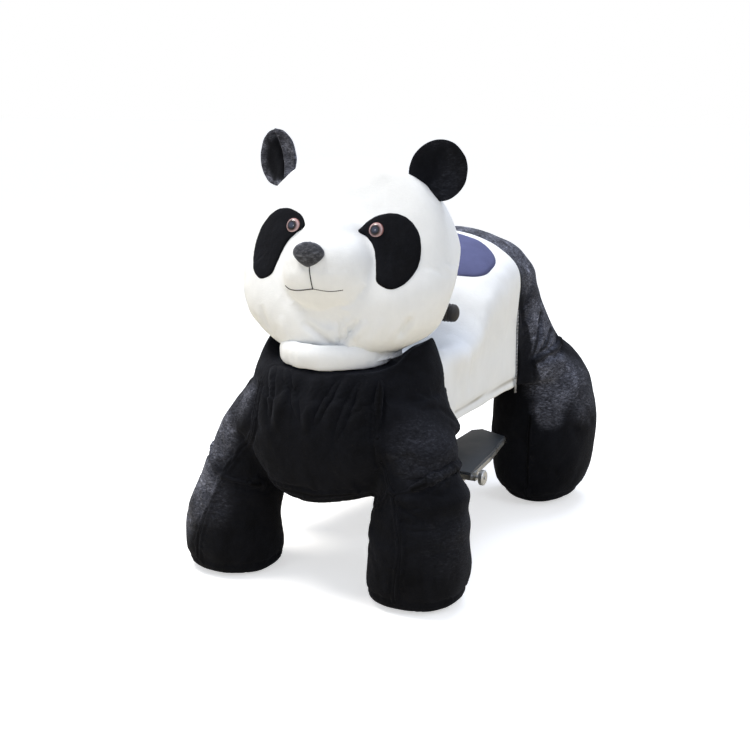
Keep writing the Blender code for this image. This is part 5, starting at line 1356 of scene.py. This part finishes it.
# %% Hard finishes
def hard(name, colour, worn, rough, metal=0.0, grain_mm=2.0, bump=0.15, coat=0.0):
    """A moulded, painted or plated surface: colour and gloss vary a little and the grain is a fine bump."""
    made, tree, shader, place = new_material(name)
    drift = grain(tree, place, 45, 4.0)
    wear = ramp(tree, drift, ((0.35, grey(0.0)), (0.75, grey(1.0))))
    gloss = ramp(tree, drift, ((0.3, grey(rough - 0.05)), (0.7, grey(rough + 0.07))))
    fill(tree, shader, {"Base Color": mix(tree, wear, linear(colour), linear(worn)), "Roughness": gloss,
                        "Metallic": metal, "Coat Weight": coat})
    bumped(tree, shader, grain(tree, place, grain_mm, 2.0), bump, 0.0003)
    return made


def birch_plywood():
    """Sanded birch: long grain along the board, stretched noise for its figure."""
    made, tree, shader, place = new_material("sanded_birch_plywood")
    along = node(tree, "ShaderNodeMapping", {"Vector": place, "Scale": (1.0, 0.08, 1.0)}).outputs["Vector"]
    figure = grain(tree, along, 5, 5.0, Distortion=0.8)
    wood = ramp(tree, figure, ((0.3, linear("b98f5f")), (0.7, linear("d8b888"))))
    fill(tree, shader, {"Base Color": wood, "Roughness": 0.6})
    return made


def open_foam():
    """Open-cell cushion foam: pores are small Voronoi cells pressed in by the bump, with painted shade in
    them.
    """
    made, tree, shader, place = new_material("open_cell_foam")
    pores = node(tree, "ShaderNodeTexVoronoi", {"Vector": place, "Scale": per_mm(1.8)}).outputs["Distance"]
    # The pits of the pores are darker: painted shade in the pores.
    foam_with_pore_shade = ramp(tree, pores, ((0.1, linear("c9b878")), (0.5, linear("e6d9a3"))))
    fill(tree, shader, {"Base Color": foam_with_pore_shade, "Roughness": 0.95})
    bumped(tree, shader, pores, 0.5, 0.0006)
    return made


HARD_FINISHES = {
    "frame_steel": hard("black_powder_coat", "121215", "1a1a1e", 0.42, 0.0, 1.6, 0.3),
    "zinc_steel": hard("bright_zinc_plate", "b9bcc2", "a4a8ae", 0.30, 1.0, 3.0, 0.08),
    "plywood": birch_plywood(),
    "seat_foam": open_foam(),
    "black_rubber": rubber,
    "wheel_urethane": hard("blue_violet_urethane", "2c2a6e", "35337a", 0.45, 0.0, 2.5, 0.12),
    "white_nylon": hard("moulded_white_nylon", "dddcd6", "cfcec6", 0.48, 0.0, 2.0, 0.10),
    "black_plastic": hard("textured_black_abs", "17171a", "1e1e22", 0.55, 0.0, 0.8, 0.35),
    "battery_case": hard("grey_abs_battery_case", "34353a", "3d3e44", 0.50, 0.0, 1.2, 0.25),
    "red_plastic": hard("glossy_red_button", "c21a1e", "ae1519", 0.25, 0.0, 4.0, 0.05, 0.6),
    "zip_metal": zip_metal,
    "black_plush": black_plush,
    "white_plush": white_plush,
    "grey_plush": grey_plush,
    "eye_resin": eye_finish,
}
tread_rubber = hard("dusty_ribbed_footrest_rubber", "34393f", "42484f", 0.38, 0.0, 1.4, 0.3)
for name, part in nodes.items():
    slot_name = part.data.materials[0].name.split(".")[0]
    part.data.materials[0] = tread_rubber if "tread" in name else HARD_FINISHES[slot_name]
print("finished", len(nodes), "frame pieces")

# %% Light, floor and background
world = bpy.data.worlds.new("studio")
bpy.context.scene.world = world
world.use_nodes = True
air = world.node_tree
air.nodes.clear()
rays = node(air, "ShaderNodeLightPath")
seen = maths(air, "MAXIMUM", rays.outputs["Is Camera Ray"], rays.outputs["Is Glossy Ray"])
seen = maths(air, "MAXIMUM", seen, rays.outputs["Is Transmission Ray"])
soft_sky = node(air, "ShaderNodeBackground", {"Color": linear("eef3fc"), "Strength": 0.56})
white_sky = node(air, "ShaderNodeBackground", {"Color": grey(1.0), "Strength": 1.0})
sky = node(air, "ShaderNodeMixShader", {0: seen, 1: soft_sky.outputs[0], 2: white_sky.outputs[0]})
node(air, "ShaderNodeOutputWorld", {"Surface": sky.outputs[0]})


def area_light(name, place, aim, size, power, colour="ffffff"):
    lamp = bpy.data.lights.new(name, "AREA")
    lamp.shape = "DISK"
    lamp.size = size
    lamp.energy = power
    lamp.color = linear(colour)[:3]
    made = bpy.data.objects.new(name, lamp)
    made.location = place
    made.rotation_mode = "QUATERNION"
    made.rotation_quaternion = (Vector(aim) - Vector(place)).to_track_quat("-Z", "Y")
    bpy.context.scene.collection.objects.link(made)
    return made


area_light("softbox_above", (-1.0, -0.5, 2.8), (0.0, -0.1, 0.4), 1.2, 62.0, "fffaf2")
area_light("softbox_left", (2.6, -1.0, 2.2), (0.0, -0.1, 0.4), 1.4, 16.0, "eef3ff")
area_light("catch_light", (-0.56, -2.6, 1.5), (0.0, -0.36, 0.62), 0.4, 5.0)
area_light("softbox_behind", (0.3, 1.5, 2.9), (0.05, 0.1, 0.5), 1.2, 36.0, "e2ebff")

floor_material, floor_tree, floor_shader, _ = new_material("painted_studio_floor")
by_eye = node(floor_tree, "ShaderNodeLightPath").outputs["Is Camera Ray"]
# The light that the floor throws up is a little warm, as in the photograph under the chin.
floor_paint = mix(floor_tree, by_eye, linear("f3e6cb"), linear("f2f2f2"))
fill(floor_tree, floor_shader, {"Base Color": floor_paint, "Roughness": 0.9, "Specular IOR Level": 0.1,
                                "Emission Color": grey(1.0),
                                "Emission Strength": maths(floor_tree, "MULTIPLY", by_eye, 0.55)})
floor_mesh = bmesh.new()
bmesh.ops.create_grid(floor_mesh, x_segments=1, y_segments=1, size=30.0)
floor = object_of("studio_floor", floor_mesh)
floor.data.materials.append(floor_material)

bpy.context.scene.view_settings.view_transform = "Standard"
